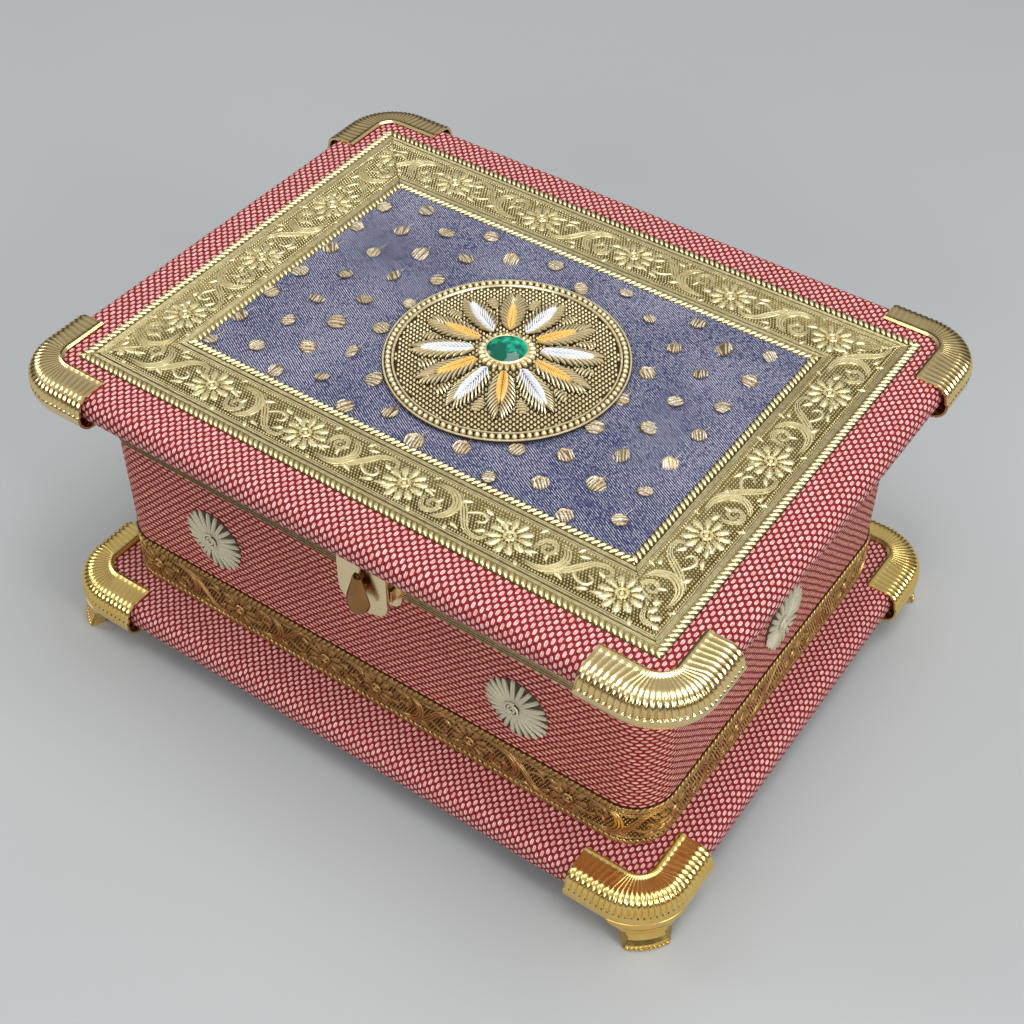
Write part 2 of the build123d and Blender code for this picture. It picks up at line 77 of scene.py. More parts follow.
def finish_place(piece):
    """Puts a piece's place, turn and scale into its mesh."""
    pick(piece)
    bpy.ops.object.transform_apply(location=True, rotation=True, scale=True)
    return piece


def coat(piece, material):
    piece.data.materials.clear()
    piece.data.materials.append(material)


def start_material(name, roughness=0.5, metallic=0.0):
    """New material; gives the material, its nodes' tree and its surface shader."""
    material = bpy.data.materials.new(name)
    material.use_nodes = True
    tree = material.node_tree
    surface = tree.nodes["Principled BSDF"]
    surface.inputs["Roughness"].default_value = roughness
    surface.inputs["Metallic"].default_value = metallic
    return material, tree, surface


def add_node(tree, kind, **settings):
    node = tree.nodes.new(kind)
    for key, value in settings.items():
        setattr(node, key, value)
    return node


def feed(tree, node, socket, value):
    """Links a value to a socket, or sets it there."""
    if isinstance(value, bpy.types.NodeSocket):
        tree.links.new(value, node.inputs[socket])
    else:
        node.inputs[socket].default_value = value


def maths(tree, operation, first, second=0.0, third=0.0):
    node = add_node(tree, "ShaderNodeMath", operation=operation)
    for i, value in enumerate((first, second, third)):
        feed(tree, node, i, value)
    return node.outputs[0]


def ramp(tree, value, low, high):
    """Smooth step of a value from 0 at low to 1 at high."""
    node = add_node(tree, "ShaderNodeMapRange", interpolation_type="SMOOTHSTEP")
    feed(tree, node, "Value", value)
    node.inputs["From Min"].default_value = low
    node.inputs["From Max"].default_value = high
    return node.outputs["Result"]


def blend_colours(tree, factor, first, second):
    node = add_node(tree, "ShaderNodeMix", data_type="RGBA")
    feed(tree, node, "Factor", factor)
    for socket, colour in ((node.inputs[6], first), (node.inputs[7], second)):
        if isinstance(colour, bpy.types.NodeSocket):
            tree.links.new(colour, socket)
        else:
            socket.default_value = (*colour, 1.0)
    return node.outputs[2]


def object_place(tree):
    return add_node(tree, "ShaderNodeTexCoord").outputs["Object"]


def noise(tree, scale, detail=3.0, place=None, output="Fac"):
    """Noise over the piece's Object coordinates, or over another place."""
    node = add_node(tree, "ShaderNodeTexNoise")
    node.inputs["Scale"].default_value = scale
    node.inputs["Detail"].default_value = detail
    tree.links.new(object_place(tree) if place is None else place, node.inputs["Vector"])
    return node.outputs[output]


def bump(tree, surface, height, depth, strength=1.0):
    node = add_node(tree, "ShaderNodeBump")
    node.inputs["Distance"].default_value = depth
    node.inputs["Strength"].default_value = strength
    tree.links.new(height, node.inputs["Height"])
    tree.links.new(node.outputs["Normal"], surface.inputs["Normal"])


def parted(tree, vector):
    """The parts of a vector along X, Y and Z."""
    node = add_node(tree, "ShaderNodeSeparateXYZ")
    tree.links.new(vector, node.inputs[0])
    return node.outputs


def mottled(name, dark, light, scale, detail=3.0, fine=None, depth=0.0, **settings):
    """Material of two tones clouded together, with a fine bump of some depth."""
    material, tree, surface = start_material(name, **settings)
    feed(tree, surface, "Base Color", blend_colours(tree, noise(tree, scale, detail), dark, light))
    if fine:
        bump(tree, surface, noise(tree, fine), depth)
    return material


sheet_width = 2.6
backdrop = add(bpy.ops.mesh.primitive_plane_add, "backdrop", size=sheet_width, location=(0, 0, 0))
backdrop_paper = mottled("backdrop_paper", (0.338, 0.347, 0.347), (0.356, 0.366, 0.366), 6.0, roughness=0.9)
coat(backdrop, backdrop_paper)

# The brass mirrors a dim room, dark at the height of the table and lighter overhead. Seen straight on,
# the room is a plain pale wall.
world = bpy.context.scene.world or bpy.data.worlds.new("World")
bpy.context.scene.world = world
world.use_nodes = True
room = world.node_tree
direction = add_node(room, "ShaderNodeTexCoord").outputs["Generated"]
overhead = ramp(room, parted(room, direction)["Z"], 0.15, 0.75)
glow = blend_colours(room, overhead, (0.10, 0.085, 0.07), (0.92, 0.96, 1.0))
seen = add_node(room, "ShaderNodeLightPath").outputs["Is Camera Ray"]
room.links.new(blend_colours(room, seen, glow, (0.80, 0.83, 0.84)), room.nodes["Background"].inputs["Color"])
room.nodes["Background"].inputs["Strength"].default_value = 0.53

for name, place, aim_level, width, depth, power in (
        ("overhead_softbox", (0.22, 0.09, 1.37), 0.05, 1.0, 0.8, 13.0),
        ("front_softbox", (0.30, -1.25, 0.75), 0.06, 0.8, 0.4, 8.6),
        ("left_softbox", (-1.1, -0.25, 0.8), 0.06, 0.5, 0.5, 4.6),
        ("right_softbox", (1.2, -0.20, 0.7), 0.06, 0.5, 0.5, 9.2)):
    clear_selection()
    bpy.ops.object.light_add(type="AREA", location=place)
    lamp = bpy.context.active_object
    lamp.name = name
    lamp.data.shape = "RECTANGLE"
    lamp.data.size, lamp.data.size_y = width, depth
    lamp.data.energy = power
    lamp.rotation_euler = (Vector((0, 0, aim_level)) - Vector(place)).to_track_quat("-Z", "Y").to_euler()


def spin_about(axis, degrees):
    return Matrix.Rotation(math.radians(degrees), 4, axis)


azimuth, elevation, roll = 34.765, 45.167, 0.377
clear_selection()
bpy.ops.object.camera_add()
camera = bpy.context.active_object
camera.matrix_world = (Matrix.Translation((0.2217, -0.3140, 0.4293)) @ spin_about("Z", azimuth)
                       @ spin_about("X", 90 - elevation) @ spin_about("Z", roll))
camera.data.lens = 59.08
camera.data.sensor_width = 36.0
bpy.context.scene.camera = camera
bpy.context.scene.view_settings.view_transform = "Standard"


# --- Woven cover of the plinth, the walls and the lid ---
# Crimson cotton with paired cream threads in a basket weave, glued over the boards and turned under
# the slabs. The walls are wrapped in one strip that is folded over the rim.

thread_pair = 0.0014          # width of one float of the weave
cover_thickness = 0.0007
slab_corner = 0.015
slab_round = 0.0048
hem = 0.030
near = 1e-6                   # how close two levels have to be to count as one


def basket_weave(name, reach, narrow, cream_deep, cream_light, weft, weft_light, gap_shadow):
    """Cream warp floats over crimson weft, with painted shadow between the floats, from the piece's own UV map in
    metres.
    """
    material, tree, surface = start_material(name, roughness=0.6)

    def calc(operation, *values):
        return maths(tree, operation, *values)

    place = add_node(tree, "ShaderNodeTexCoord").outputs["UV"]
    shift = add_node(tree, "ShaderNodeVectorMath", operation="MULTIPLY_ADD")
    tree.links.new(noise(tree, 130.0, 2.0, place, "Color"), shift.inputs[0])
    shift.inputs[1].default_value = (0.0009, 0.0009, 0.0)
    tree.links.new(place, shift.inputs[2])
    scaled = add_node(tree, "ShaderNodeVectorMath", operation="SCALE")
    tree.links.new(shift.outputs[0], scaled.inputs[0])
    scaled.inputs["Scale"].default_value = math.pi / thread_pair
    across, along, _ = parted(tree, scaled.outputs[0])
    wave_across, wave_along = calc("COSINE", across), calc("COSINE", along)
    narrowed = calc("MULTIPLY_ADD", calc("ABSOLUTE", wave_across), narrow, -narrow)
    float_shape = calc("ADD", calc("MULTIPLY", wave_across, wave_along), narrowed)
    cream = ramp(tree, float_shape, reach, reach + 0.18)
    # Each float is a pair of threads side by side.
    cream_pair, red_pair = (calc("MULTIPLY_ADD", calc("COSINE", calc("MULTIPLY", way, 4.0)), -0.5, 0.5)
                            for way in (across, along))
    fibre = noise(tree, 2400.0, 3.0, place)
    slub = ramp(tree, noise(tree, 520.0, 2.0, place), 0.35, 0.65)
    cream_colour = blend_colours(tree, fibre, cream_deep, cream_light)
    cream_colour = blend_colours(tree, slub, (0.70, 0.34, 0.28), cream_colour)
    cream_colour = blend_colours(tree, ramp(tree, cream_pair, 0.0, 0.4), (0.55, 0.18, 0.19), cream_colour)
    # Towards the floats' edges the weft darkens to the gap colour: painted shadow between the floats.
    shade = ramp(tree, calc("SUBTRACT", reach, float_shape), 0.0, 0.8)
    red_colour = blend_colours(tree, shade, gap_shadow, blend_colours(tree, noise(tree, 22.0), weft, weft_light))
    feed(tree, surface, "Base Color", blend_colours(tree, cream, red_colour, cream_colour))
    raised = calc("MULTIPLY", cream, calc("MULTIPLY_ADD", cream_pair, 0.3, 0.7))
    sunk = calc("MULTIPLY", calc("SUBTRACT", 1.0, cream), calc("MULTIPLY_ADD", red_pair, 0.25, 0.15))
    dip = calc("MAXIMUM", cream, calc("MULTIPLY_ADD", shade, 0.7, 0.3))
    body = calc("MULTIPLY", calc("ADD", raised, sunk), dip)
    bump(tree, surface, calc("ADD", body, calc("MULTIPLY", fibre, 0.20)), 0.00050)
    surface.inputs["Sheen Weight"].default_value = 0.03
    surface.inputs["Sheen Roughness"].default_value = 0.4
    surface.inputs["Specular IOR Level"].default_value = 0.2
    return material


# The walls take a copy of this cloth with oranger cream, darker weft and darker gaps: painted shade on the upright
# walls, under each row of floats.
cover_cloth = basket_weave("cover_cloth", -0.68, 1.9, (0.76, 0.38, 0.35), (1.0, 0.79, 0.71),
                           (0.23, 0.008, 0.013), (0.33, 0.014, 0.022), (0.035, 0.002, 0.003))
shaded_wall_cloth = basket_weave("shaded_wall_cloth", -0.93, 3.7, (1.0, 0.43, 0.25), (1.0, 0.80, 0.56),
                          (0.21, 0.003, 0.004), (0.32, 0.006, 0.007), (0.014, 0.001, 0.001))


def map_weave(piece, lay):
    """UV map in metres: lay gives a face's corner its place in the flat cloth."""
    mesh = piece.data
    if not mesh.uv_layers:
        mesh.uv_layers.new(name="weave")
    uv = mesh.uv_layers[0].data
    for face in mesh.polygons:
        for loop in face.loop_indices:
            uv[loop].uv = lay(face, *mesh.vertices[mesh.loops[loop].vertex_index].co)


def slab_unroll(piece, half_length, half_depth, low, high):
    """UV map of a bullnosed slab: the top as it lies, and the edges unrolled from it."""
    flat_x, flat_y = half_length - slab_corner, half_depth - slab_corner
    quarter = slab_round * math.pi / 2

    def unrolled(face, x, y, z):
        if face.normal.z < -0.9:
            return x, y
        past_x, past_y = max(abs(x) - flat_x, 0.0), max(abs(y) - flat_y, 0.0)
        past = math.hypot(past_x, past_y)
        run = past
        if z < high - slab_round:
            run = slab_corner - slab_round + quarter + (high - slab_round - max(z, low + slab_round))
            if z < low + slab_round:
                run += slab_round * math.asin(min(1.0, (low + slab_round - z) / slab_round))
        elif z < high - near:
            run = slab_corner - slab_round + slab_round * math.acos((z - high + slab_round) / slab_round)
        stretch = run / past if past > 1e-9 else 0.0
        return (math.copysign(min(abs(x), flat_x) + past_x * stretch, x),
                math.copysign(min(abs(y), flat_y) + past_y * stretch, y))

    map_weave(piece, unrolled)


def select_where(items, wanted, piece, kind):
    """Goes into edit mode with only the wanted edges or faces selected."""
    pick(piece)
    bpy.context.tool_settings.mesh_select_mode = (False, kind == "EDGE", kind == "FACE")
    mesh = piece.data
    for item in (*mesh.vertices, *mesh.edges, *mesh.polygons):
        item.select = False
    for item in items:
        item.select = bool(wanted(item))
    bpy.ops.object.mode_set(mode="EDIT")


def select_whole(piece):
    """Goes into edit mode with the whole piece selected."""
    pick(piece)
    bpy.ops.object.mode_set(mode="EDIT")
    bpy.ops.mesh.select_all(action="SELECT")


def leave_edit():
    bpy.ops.object.mode_set(mode="OBJECT")


def select_edges(piece, wanted):
    """Selects the edges whose two ends satisfy wanted."""
    points = piece.data.vertices
    select_where(piece.data.edges, lambda edge: wanted(*(points[i].co for i in edge.vertices)), piece, "EDGE")


def select_faces(piece, wanted):
    select_where(piece.data.polygons, wanted, piece, "FACE")


def add_block(name, low, high):
    """Square block between two corners."""
    piece = add(bpy.ops.mesh.primitive_cube_add, name, size=1, location=(Vector(low) + Vector(high)) / 2)
    piece.scale = Vector(high) - Vector(low)
    return finish_place(piece)


def bevel_edges(piece, wanted, radius, segments):
    select_edges(piece, wanted)
    bpy.ops.mesh.bevel(offset=radius, offset_type="OFFSET", segments=segments, affect="EDGES")
    leave_edit()


def round_uprights(piece, radius, segments):
    bevel_edges(piece, lambda a, b: abs(a.z - b.z) > near and (a.xy - b.xy).length < near, radius, segments)


def round_level(piece, level, radius, segments):
    bevel_edges(piece, lambda a, b: abs(a.z - level) < near and abs(b.z - level) < near, radius, segments)


def smooth(piece, degrees=35):
    """Smooth shading, but for edges that turn by more than so many degrees."""
    pick(piece)
    bpy.ops.object.shade_smooth_by_angle(angle=math.radians(degrees))


def cut_away(piece, cutter):
    """Takes the cutter out of the piece."""
    pick(piece)
    knife = piece.modifiers.new("cut", "BOOLEAN")
    knife.operation = "DIFFERENCE"
    knife.solver = "EXACT"
    knife.object = cutter
    bpy.ops.object.modifier_apply(modifier="cut")
    bpy.data.objects.remove(cutter)


def bullnosed(name, low, high, corner, rounding):
    """Slab with rounded corners and a half-round edge all the way round."""
    slab = add_block(name, low, high)
    round_uprights(slab, corner, 10)
    for level in (low.z, high.z):
        round_level(slab, level, rounding, 7)
    return slab


def thicken(piece, thickness):
    """Gives a skin its thickness, on the inside."""
    pick(piece)
    wall = piece.modifiers.new("wall", "SOLIDIFY")
    wall.thickness = thickness
    wall.offset = -1.0
    bpy.ops.object.modifier_apply(modifier="wall")


def wrapped_slab(name, node, body):
    """Cover of a board: over its top, round its edge and turned under it as a hem."""
    low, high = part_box(node)
    cover = bullnosed(name, low, high, slab_corner, slab_round)
    select_faces(cover, lambda face: face.normal.z < -0.999)
    bpy.ops.mesh.delete(type="FACE")
    leave_edit()
    select_edges(cover, lambda a, b: max(a.z, b.z) < low.z + near)
    bpy.ops.mesh.extrude_region_move()
    leave_edit()
    for vertex in cover.data.vertices:
        if vertex.select:
            vertex.co.x = max(low.x + hem, min(high.x - hem, vertex.co.x))
            vertex.co.y = max(low.y + hem, min(high.y - hem, vertex.co.y))
    select_whole(cover)
    bpy.ops.mesh.remove_doubles(threshold=0.00001)
    leave_edit()
    thicken(cover, cover_thickness)
    slab_unroll(cover, high.x, high.y, low.z, high.z)
    smooth(cover)
    coat(cover, cover_cloth)
    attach(cover, body)
    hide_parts(node)


wrapped_slab("plinth_cover", "plinth_fabric_cover", "box")
wrapped_slab("lid_cover", "lid_fabric_cover", "lid")


def perimeter_run(x, y, face_centre, half_length, half_depth, radius):
    """Distance round the walls from the middle of the front, growing to the right."""
    flat_x, flat_y = half_length - radius, half_depth - radius
    quarter = radius * math.pi / 2
    across, deep = face_centre.xy
    if abs(across) <= flat_x:
        return x if deep < 0 else flat_x + quarter + 2 * flat_y + quarter + (flat_x - x)
    side = math.copysign(1.0, across)
    if abs(deep) <= flat_y:
        return side * (flat_x + quarter + y + flat_y)
    if deep < 0:
        return side * (flat_x + radius * math.atan2(side * x - flat_x, -(y + flat_y)))
    return side * (flat_x + quarter + 2 * flat_y + radius * math.atan2(y - flat_y, side * x - flat_x))


wall_corner = 0.013
corner_segments = 14
rim_roll = 0.0008
lining_thickness = 0.0008
low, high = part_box("body_fabric_wrap")
body_wrap = add_block("body_wrap", low, high)
round_uprights(body_wrap, wall_corner, corner_segments)
round_level(body_wrap, high.z, rim_roll, 3)
board_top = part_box("front_wall_board")[1].z
past_end = Vector((0, 0, 0.01))        # how far a cutter runs past what it cuts
skin = Vector((cover_thickness, cover_thickness, 0))
boards = add_block("boards_space", low + skin - past_end, Vector((high.x, high.y, board_top)) - skin)
round_uprights(boards, wall_corner - cover_thickness, corner_segments)
cut_away(body_wrap, boards)
lining_low, lining_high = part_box("wall_lining")
inside = Vector((lining_thickness, lining_thickness, 0))


def space_in_lining(name):
    return add_block(name, lining_low + inside - past_end, lining_high - inside + past_end)


def wrapped_round(face, x, y, z):
    if abs(face.normal.z) > 0.9:
        return x, y
    return z, perimeter_run(x, y, face.center, high.x, high.y, wall_corner)


cut_away(body_wrap, space_in_lining("mouth_space"))
map_weave(body_wrap, wrapped_round)
smooth(body_wrap)
coat(body_wrap, shaded_wall_cloth)
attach(body_wrap, "box")
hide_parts("body_fabric_wrap")


# --- Embossed foil trim: lid border, rim strip and bottom band ---
# One roll of pressed brass foil an inch wide, gilded, with painted shade in its hollows: twisted rope along
# both edges, fine ribs and beads, and flowers on a scrolling vine over a pebbled ground. It is glued on.

foil_period = 0.035
field_half = 0.0063           # half the width of the flowered field
foil_sheet = 0.00040          # level of the plain foil above what carries it
unit = 0.001


def copies(piece, places, name):
    """One mesh with the piece at every place, and the piece itself taken away."""
    mesh = piece.data
    points = np.empty(len(mesh.vertices) * 3)
    mesh.vertices.foreach_get("co", points)
    points = np.c_[points.reshape(-1, 3), np.ones(len(mesh.vertices))]
    faces = [tuple(face.vertices) for face in mesh.polygons]
    count = len(points)
    all_points = []
    all_faces = []
    for i, place in enumerate(places):
        all_points.append((points @ np.array(place).T)[:, :3])
        all_faces.extend(tuple(index + i * count for index in face) for face in faces)
    gathered = bpy.data.meshes.new(name)
    gathered.from_pydata(np.concatenate(all_points).tolist(), [], all_faces)
    bpy.data.objects.remove(piece)
    result = bpy.data.objects.new(name, gathered)
    bpy.context.scene.collection.objects.link(result)
    return result


def joined(pieces, name):
    clear_selection()
    for piece in pieces:
        piece.select_set(True)
    bpy.context.view_layer.objects.active = pieces[0]
    bpy.ops.object.join()
    return named(name)


def dome(name, radius, height, sides=6):
    """Low round stud standing on z = 0."""
    return finish_place(add(bpy.ops.mesh.primitive_cone_add, name, vertices=sides, radius1=radius,
                            radius2=0.5 * radius, depth=height, location=(0, 0, height / 2), end_fill_type="NGON"))


def lump(name, length, width, height, narrow=1.0, sides=8, rings=6):
    """Rounded grain lying along X from its narrow end at the origin."""
    grain = finish_place(add(bpy.ops.mesh.primitive_uv_sphere_add, name, segments=sides, ring_count=rings,
                             radius=1, location=(1, 0, 0), rotation=(0, math.pi / 2, 0)))
    for vertex in grain.data.vertices:
        along = vertex.co.x / 2
        taper = narrow + (1 - narrow) * along
        vertex.co.x = along * length
        vertex.co.y *= width / 2 * taper
        vertex.co.z *= height * taper
    return grain


def turned(x, y, z, degrees):
    return Matrix.Translation((x, y, z)) @ spin_about("Z", degrees)


def spread(radius, angles):
    """Places round the flower's middle, each facing outwards."""
    return [turned(radius * math.cos(a), radius * math.sin(a), foil_sheet, math.degrees(a)) for a in angles]


def vine(name, points, flatten=0.55, steps=5):
    """Smooth tapering stem through points of (x, y, radius), in millimetres."""
    clear_selection()
    bpy.ops.curve.primitive_nurbs_path_add(location=(0, 0, 0))
    stem = named(name)
    stem.data.splines.clear()
    spline = stem.data.splines.new("NURBS")
    spline.points.add(len(points) - 1)
    for point, (x, y, radius) in zip(spline.points, points):
        point.co = (x * unit, y * unit, 0, 1)
        point.radius = radius
    spline.order_u = 3
    spline.use_endpoint_u = True
    stem.data.resolution_u = steps
    stem.data.bevel_depth = unit
    stem.data.bevel_resolution = 1
    stem.data.use_fill_caps = True
    pick(stem)
    bpy.ops.object.convert(target="MESH")
    stem = bpy.context.active_object
    for vertex in stem.data.vertices:
        vertex.co.z = vertex.co.z * flatten + foil_sheet
    return stem


def flower():
    """Eleven-petalled flower with a ringed eye."""
    first = 0.14                  # radians that the first petal is turned
    angles = np.linspace(first, 2 * math.pi + first, 11, endpoint=False)
    petal = lump("petal", 0.0052, 0.0034, 0.00050, narrow=0.34, sides=10)
    petals = copies(petal, spread(0.0017, angles), "petals")
    vein = lump("vein", 0.0036, 0.0005, 0.00060, narrow=0.8, sides=6)
    veins = copies(vein, spread(0.0019, angles), "veins")
    eye_ring = finish_place(add(bpy.ops.mesh.primitive_torus_add, "eye_ring", major_radius=0.00150,
                                minor_radius=0.00045, major_segments=16, minor_segments=6,
                                location=(0, 0, foil_sheet + 0.0003)))
    eye = dome("eye", 0.0008, 0.0008, 8)
    eye.data.transform(Matrix.Translation((0, 0, foil_sheet)))
    return [petals, veins, eye_ring, eye]


def scroll(points):
    """Broad stem made of three lines side by side."""
    strands = []
    for offset in (-0.66, 0.0, 0.66):
        line = []
        for i, (x, y, radius) in enumerate(points):
            before, after = points[max(0, i - 1)], points[min(len(points) - 1, i + 1)]
            run = Vector((after[0] - before[0], after[1] - before[1])).normalized()
            line.append((x - run.y * offset * radius, y + run.x * offset * radius, 0.35 * radius))
        strands.append(vine("scroll", line, flatten=1.3 if offset == 0 else 1.1, steps=4))
    return strands


def vine_period(flip):
    """The flower, its spiral and the stem to the next flower, laid out in millimetres."""
    spiral = [(7.5, 0.2, 0.6), (7.6, 3.6, 0.95), (10.4, 5.3, 0.95), (13.2, 3.4, 0.9), (12.4, 0.5, 0.8),
              (9.6, 0.5, 0.7), (9.3, 3.0, 0.65), (11.2, 3.0, 0.6)]
    broad_stem = [(7.0, -4.6, 0.35), (10.2, -5.4, 0.9), (14.2, -4.6, 1.35), (17.2, -1.0, 1.6),
                  (16.8, 3.0, 1.35), (14.2, 5.4, 0.8), (12.6, 6.0, 0.3)]
    long_stem = [(14.6, -5.4, 0.7), (18.0, -2.6, 1.2), (21.0, 1.2, 1.25), (23.4, 4.6, 1.0),
                 (27.4, 6.0, 0.8), (30.2, 4.2, 0.7), (28.6, 2.4, 0.5)]
    tendril = [(20.4, -0.6, 0.5), (23.2, -3.2, 0.75), (26.4, -2.6, 0.7), (26.6, 0.2, 0.55), (24.6, 0.4, 0.5)]
    pieces = flower()
    for points in (spiral, broad_stem, long_stem):
        pieces += scroll(points)
    pieces.append(vine("tendril", tendril))
    # Each leaf's place, turn in degrees and share of full size.
    leaves = [(9.6, -0.4, 205, 1.1), (9.2, -2.6, 160, 1.0), (12.6, -2.0, 110, 0.95), (11.6, 1.4, 20, 0.7),
              (22.2, 5.8, 200, 1.0), (25.4, 4.0, -35, 1.1), (20.0, -5.2, 150, 1.1), (23.4, -5.4, 25, 1.1),
              (27.4, -4.2, 20, 1.15), (28.2, -0.6, -10, 1.0), (17.6, 5.2, 60, 0.9), (5.6, 5.4, 60, 0.9),
              (5.4, -5.6, -50, 0.8), (30.2, -4.4, 10, 0.8)]
    leaf = lump("leaf", 0.0036, 0.0021, 0.00062, narrow=0.4)
    places = [turned(x * unit, y * unit, foil_sheet, turn) @ Matrix.Scale(share, 4) for x, y, turn, share in leaves]
    pieces.append(copies(leaf, places, "leaves"))
    period = joined(pieces, "vine_period")
    if flip < 0:
        period.data.transform(Matrix.Diagonal((1, -1, 1, 1)))
        period.data.flip_normals()
    return period


def repeat(piece, count, step):
    """Row of copies along X."""
    pick(piece)
    row = piece.modifiers.new("row", "ARRAY")
    row.count = count
    row.use_relative_offset = False
    row.use_constant_offset = True
    row.constant_offset_displace = (step, 0, 0)
    bpy.ops.object.modifier_apply(modifier="row")
    return piece


def trim_to(piece, point, normal):
    """Cuts the piece at a plane, drops what lies on the normal's side and closes the cut."""
    select_whole(piece)
    bpy.ops.mesh.bisect(plane_co=point, plane_no=normal, clear_outer=True, clear_inner=False, use_fill=True)
    leave_edit()


def mark_relief(piece, values):
    """Notes how far each point stands up, for the painted shade in the metal's hollows."""
    marks = piece.data.attributes.new("relief", "FLOAT", "POINT")
    marks.data.foreach_set("value", np.broadcast_to(values, len(piece.data.vertices)).astype(np.float32))
    return piece


def raised_grid(name, columns, rows, size=1):
    """Closed slab of square cells, one metre high, to be shaped point by point."""
    slab = add(bpy.ops.mesh.primitive_grid_add, name, x_subdivisions=columns, y_subdivisions=rows, size=size)
    select_faces(slab, lambda face: True)
    bpy.ops.mesh.extrude_region_move(TRANSFORM_OT_translate={"value": (0, 0, 1)})
    bpy.ops.mesh.select_all(action="SELECT")
    bpy.ops.mesh.normals_make_consistent(inside=False)
    leave_edit()
    return slab


def foil_strip(name, length, width, start=0.0, slices=1, plain_edge=False, pebble_step=0.00100):
    """Flat run of the trim along X, standing on z = 0; start is how far into the vine it begins."""
    half = width / 2
    ribs = (field_half + 0.0012, field_half + 0.0018, half - 0.0031, half - 0.0036)
    if plain_edge:
        ribs += (half - 0.0004, half - 0.0014, half - 0.0024)
    rib, rib_rise = 0.00020, 0.00028
    rows = {-half, half, -half + 0.0003, half - 0.0003}
    for centre in ribs:
        rows.update(side * (centre + k * rib) for side in (-1, 1) for k in (-1.5, -0.6, 0, 0.6, 1.5))
    rows = sorted(y for y in rows if abs(y) <= half)
    sheet = raised_grid(name + "_sheet", slices, len(rows) - 1)
    for vertex in sheet.data.vertices:
        y = rows[round((vertex.co.y + 0.5) * (len(rows) - 1))]
        rise = sum(rib_rise * math.exp(-((abs(y) - centre) / rib) ** 2) for centre in ribs)
        edge = min(1.0, 0.25 + (half - abs(y)) / 0.0004)
        vertex.co = ((vertex.co.x + 0.5) * length, y, (foil_sheet * edge + rise) * (vertex.co.z > 0.5))
    pieces = [sheet]
    cycles = int(length / (2 * foil_period)) + 2
    for flip in (1, -1):
        row = repeat(vine_period(flip), cycles, 2 * foil_period)
        row.data.transform(Matrix.Translation((start - foil_period * (2 if flip > 0 else 1), 0, 0)))
        pieces.append(row)
    twist_step, bead_step = 0.00185, 0.00095
    if not plain_edge:
        twists = [turned((i - 1) * twist_step, side * (half - 0.0026), foil_sheet - 0.0001, side * 52)
                  for side in (-1, 1) for i in range(int(length / twist_step) + 2)]
        pieces.append(copies(lump("rope_twist", 0.0034, 0.00135, 0.00075), twists, "rope"))
    beads = [Matrix.Translation((i * bead_step, side * (field_half + 0.0005), foil_sheet))
             for side in (-1, 1) for i in range(int(length / bead_step))]
    pieces.append(copies(dome("bead", 0.00042, 0.00042), beads, "beads"))
    if not plain_edge:
        lines = int(2 * field_half / (0.95 * pebble_step))
        spots = [Matrix.Translation(((i + 0.5 * (line % 2)) * pebble_step,
                                     (line - (lines - 1) / 2) * 0.95 * pebble_step, foil_sheet))
                 for line in range(lines) for i in range(int(length / pebble_step))]
        pieces.append(copies(dome("pebble", 0.00035, 0.00030), spots, "pebbles"))
    strip = joined(pieces, name)
    for point, normal in (((0, 0, 0), (-1, 0, 0)), ((length, 0, 0), (1, 0, 0)),
                          ((0, -half, 0), (0, -1, 0)), ((0, half, 0), (0, 1, 0))):
        trim_to(strip, point, normal)
    return mark_relief(strip, [vertex.co.z / unit for vertex in strip.data.vertices])


def shade_hollows(tree, surface, metal, grain, wander, reach, hollow, relief_bump):
    """Metal in two tones where the relief stands up, and the hollow colour, painted shade, where it doesn't."""
    relief = add_node(tree, "ShaderNodeAttribute", attribute_name="relief").outputs["Fac"]
    fine = noise(tree, grain)
    scale, dull, bright = metal
    # Low relief takes the hollow colour: painted shade in the recesses.
    out_of_shade = ramp(tree, maths(tree, "MULTIPLY_ADD", fine, wander, relief), *reach)
    tones = blend_colours(tree, noise(tree, scale), dull, bright)
    feed(tree, surface, "Base Color", blend_colours(tree, out_of_shade, hollow, tones))
    bump(tree, surface, fine, *relief_bump)


def hollow_shaded_foil(name, bright, dull, hollow, roughness):
    """Gilded foil, bright on its raised parts and painted dark in its hollows as shade."""
    material, tree, surface = start_material(name, roughness=roughness, metallic=0.90)
    shade_hollows(tree, surface, (90.0, dull, bright), 900.0, 0.22, (0.50, 0.86), hollow, (0.00010, 0.7))
    return material


border_gold = hollow_shaded_foil("border_gold", (0.96, 0.86, 0.52), (0.77, 0.65, 0.35), (0.20, 0.15, 0.05), 0.36)
# Rim strip and bottom band take darker, browner copies of the same gilding: painted shade on the upright walls.
shaded_rim_gold = hollow_shaded_foil("shaded_rim_gold", (0.66, 0.50, 0.27), (0.46, 0.33, 0.16), (0.12, 0.075, 0.03), 0.40)
shaded_band_gold = hollow_shaded_foil("shaded_band_gold", (0.58, 0.37, 0.14), (0.42, 0.24, 0.075), (0.10, 0.050, 0.012), 0.36)

outer_low, outer_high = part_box("border_left")[0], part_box("border_right")[1]
panel_low, panel_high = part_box("lid_brocade_panel")
run_x, run_y = outer_high.x - outer_low.x, outer_high.y - outer_low.y
side_width, front_width = panel_low.x - outer_low.x, panel_low.y - outer_low.y
half_side, half_front = side_width / 2, front_width / 2
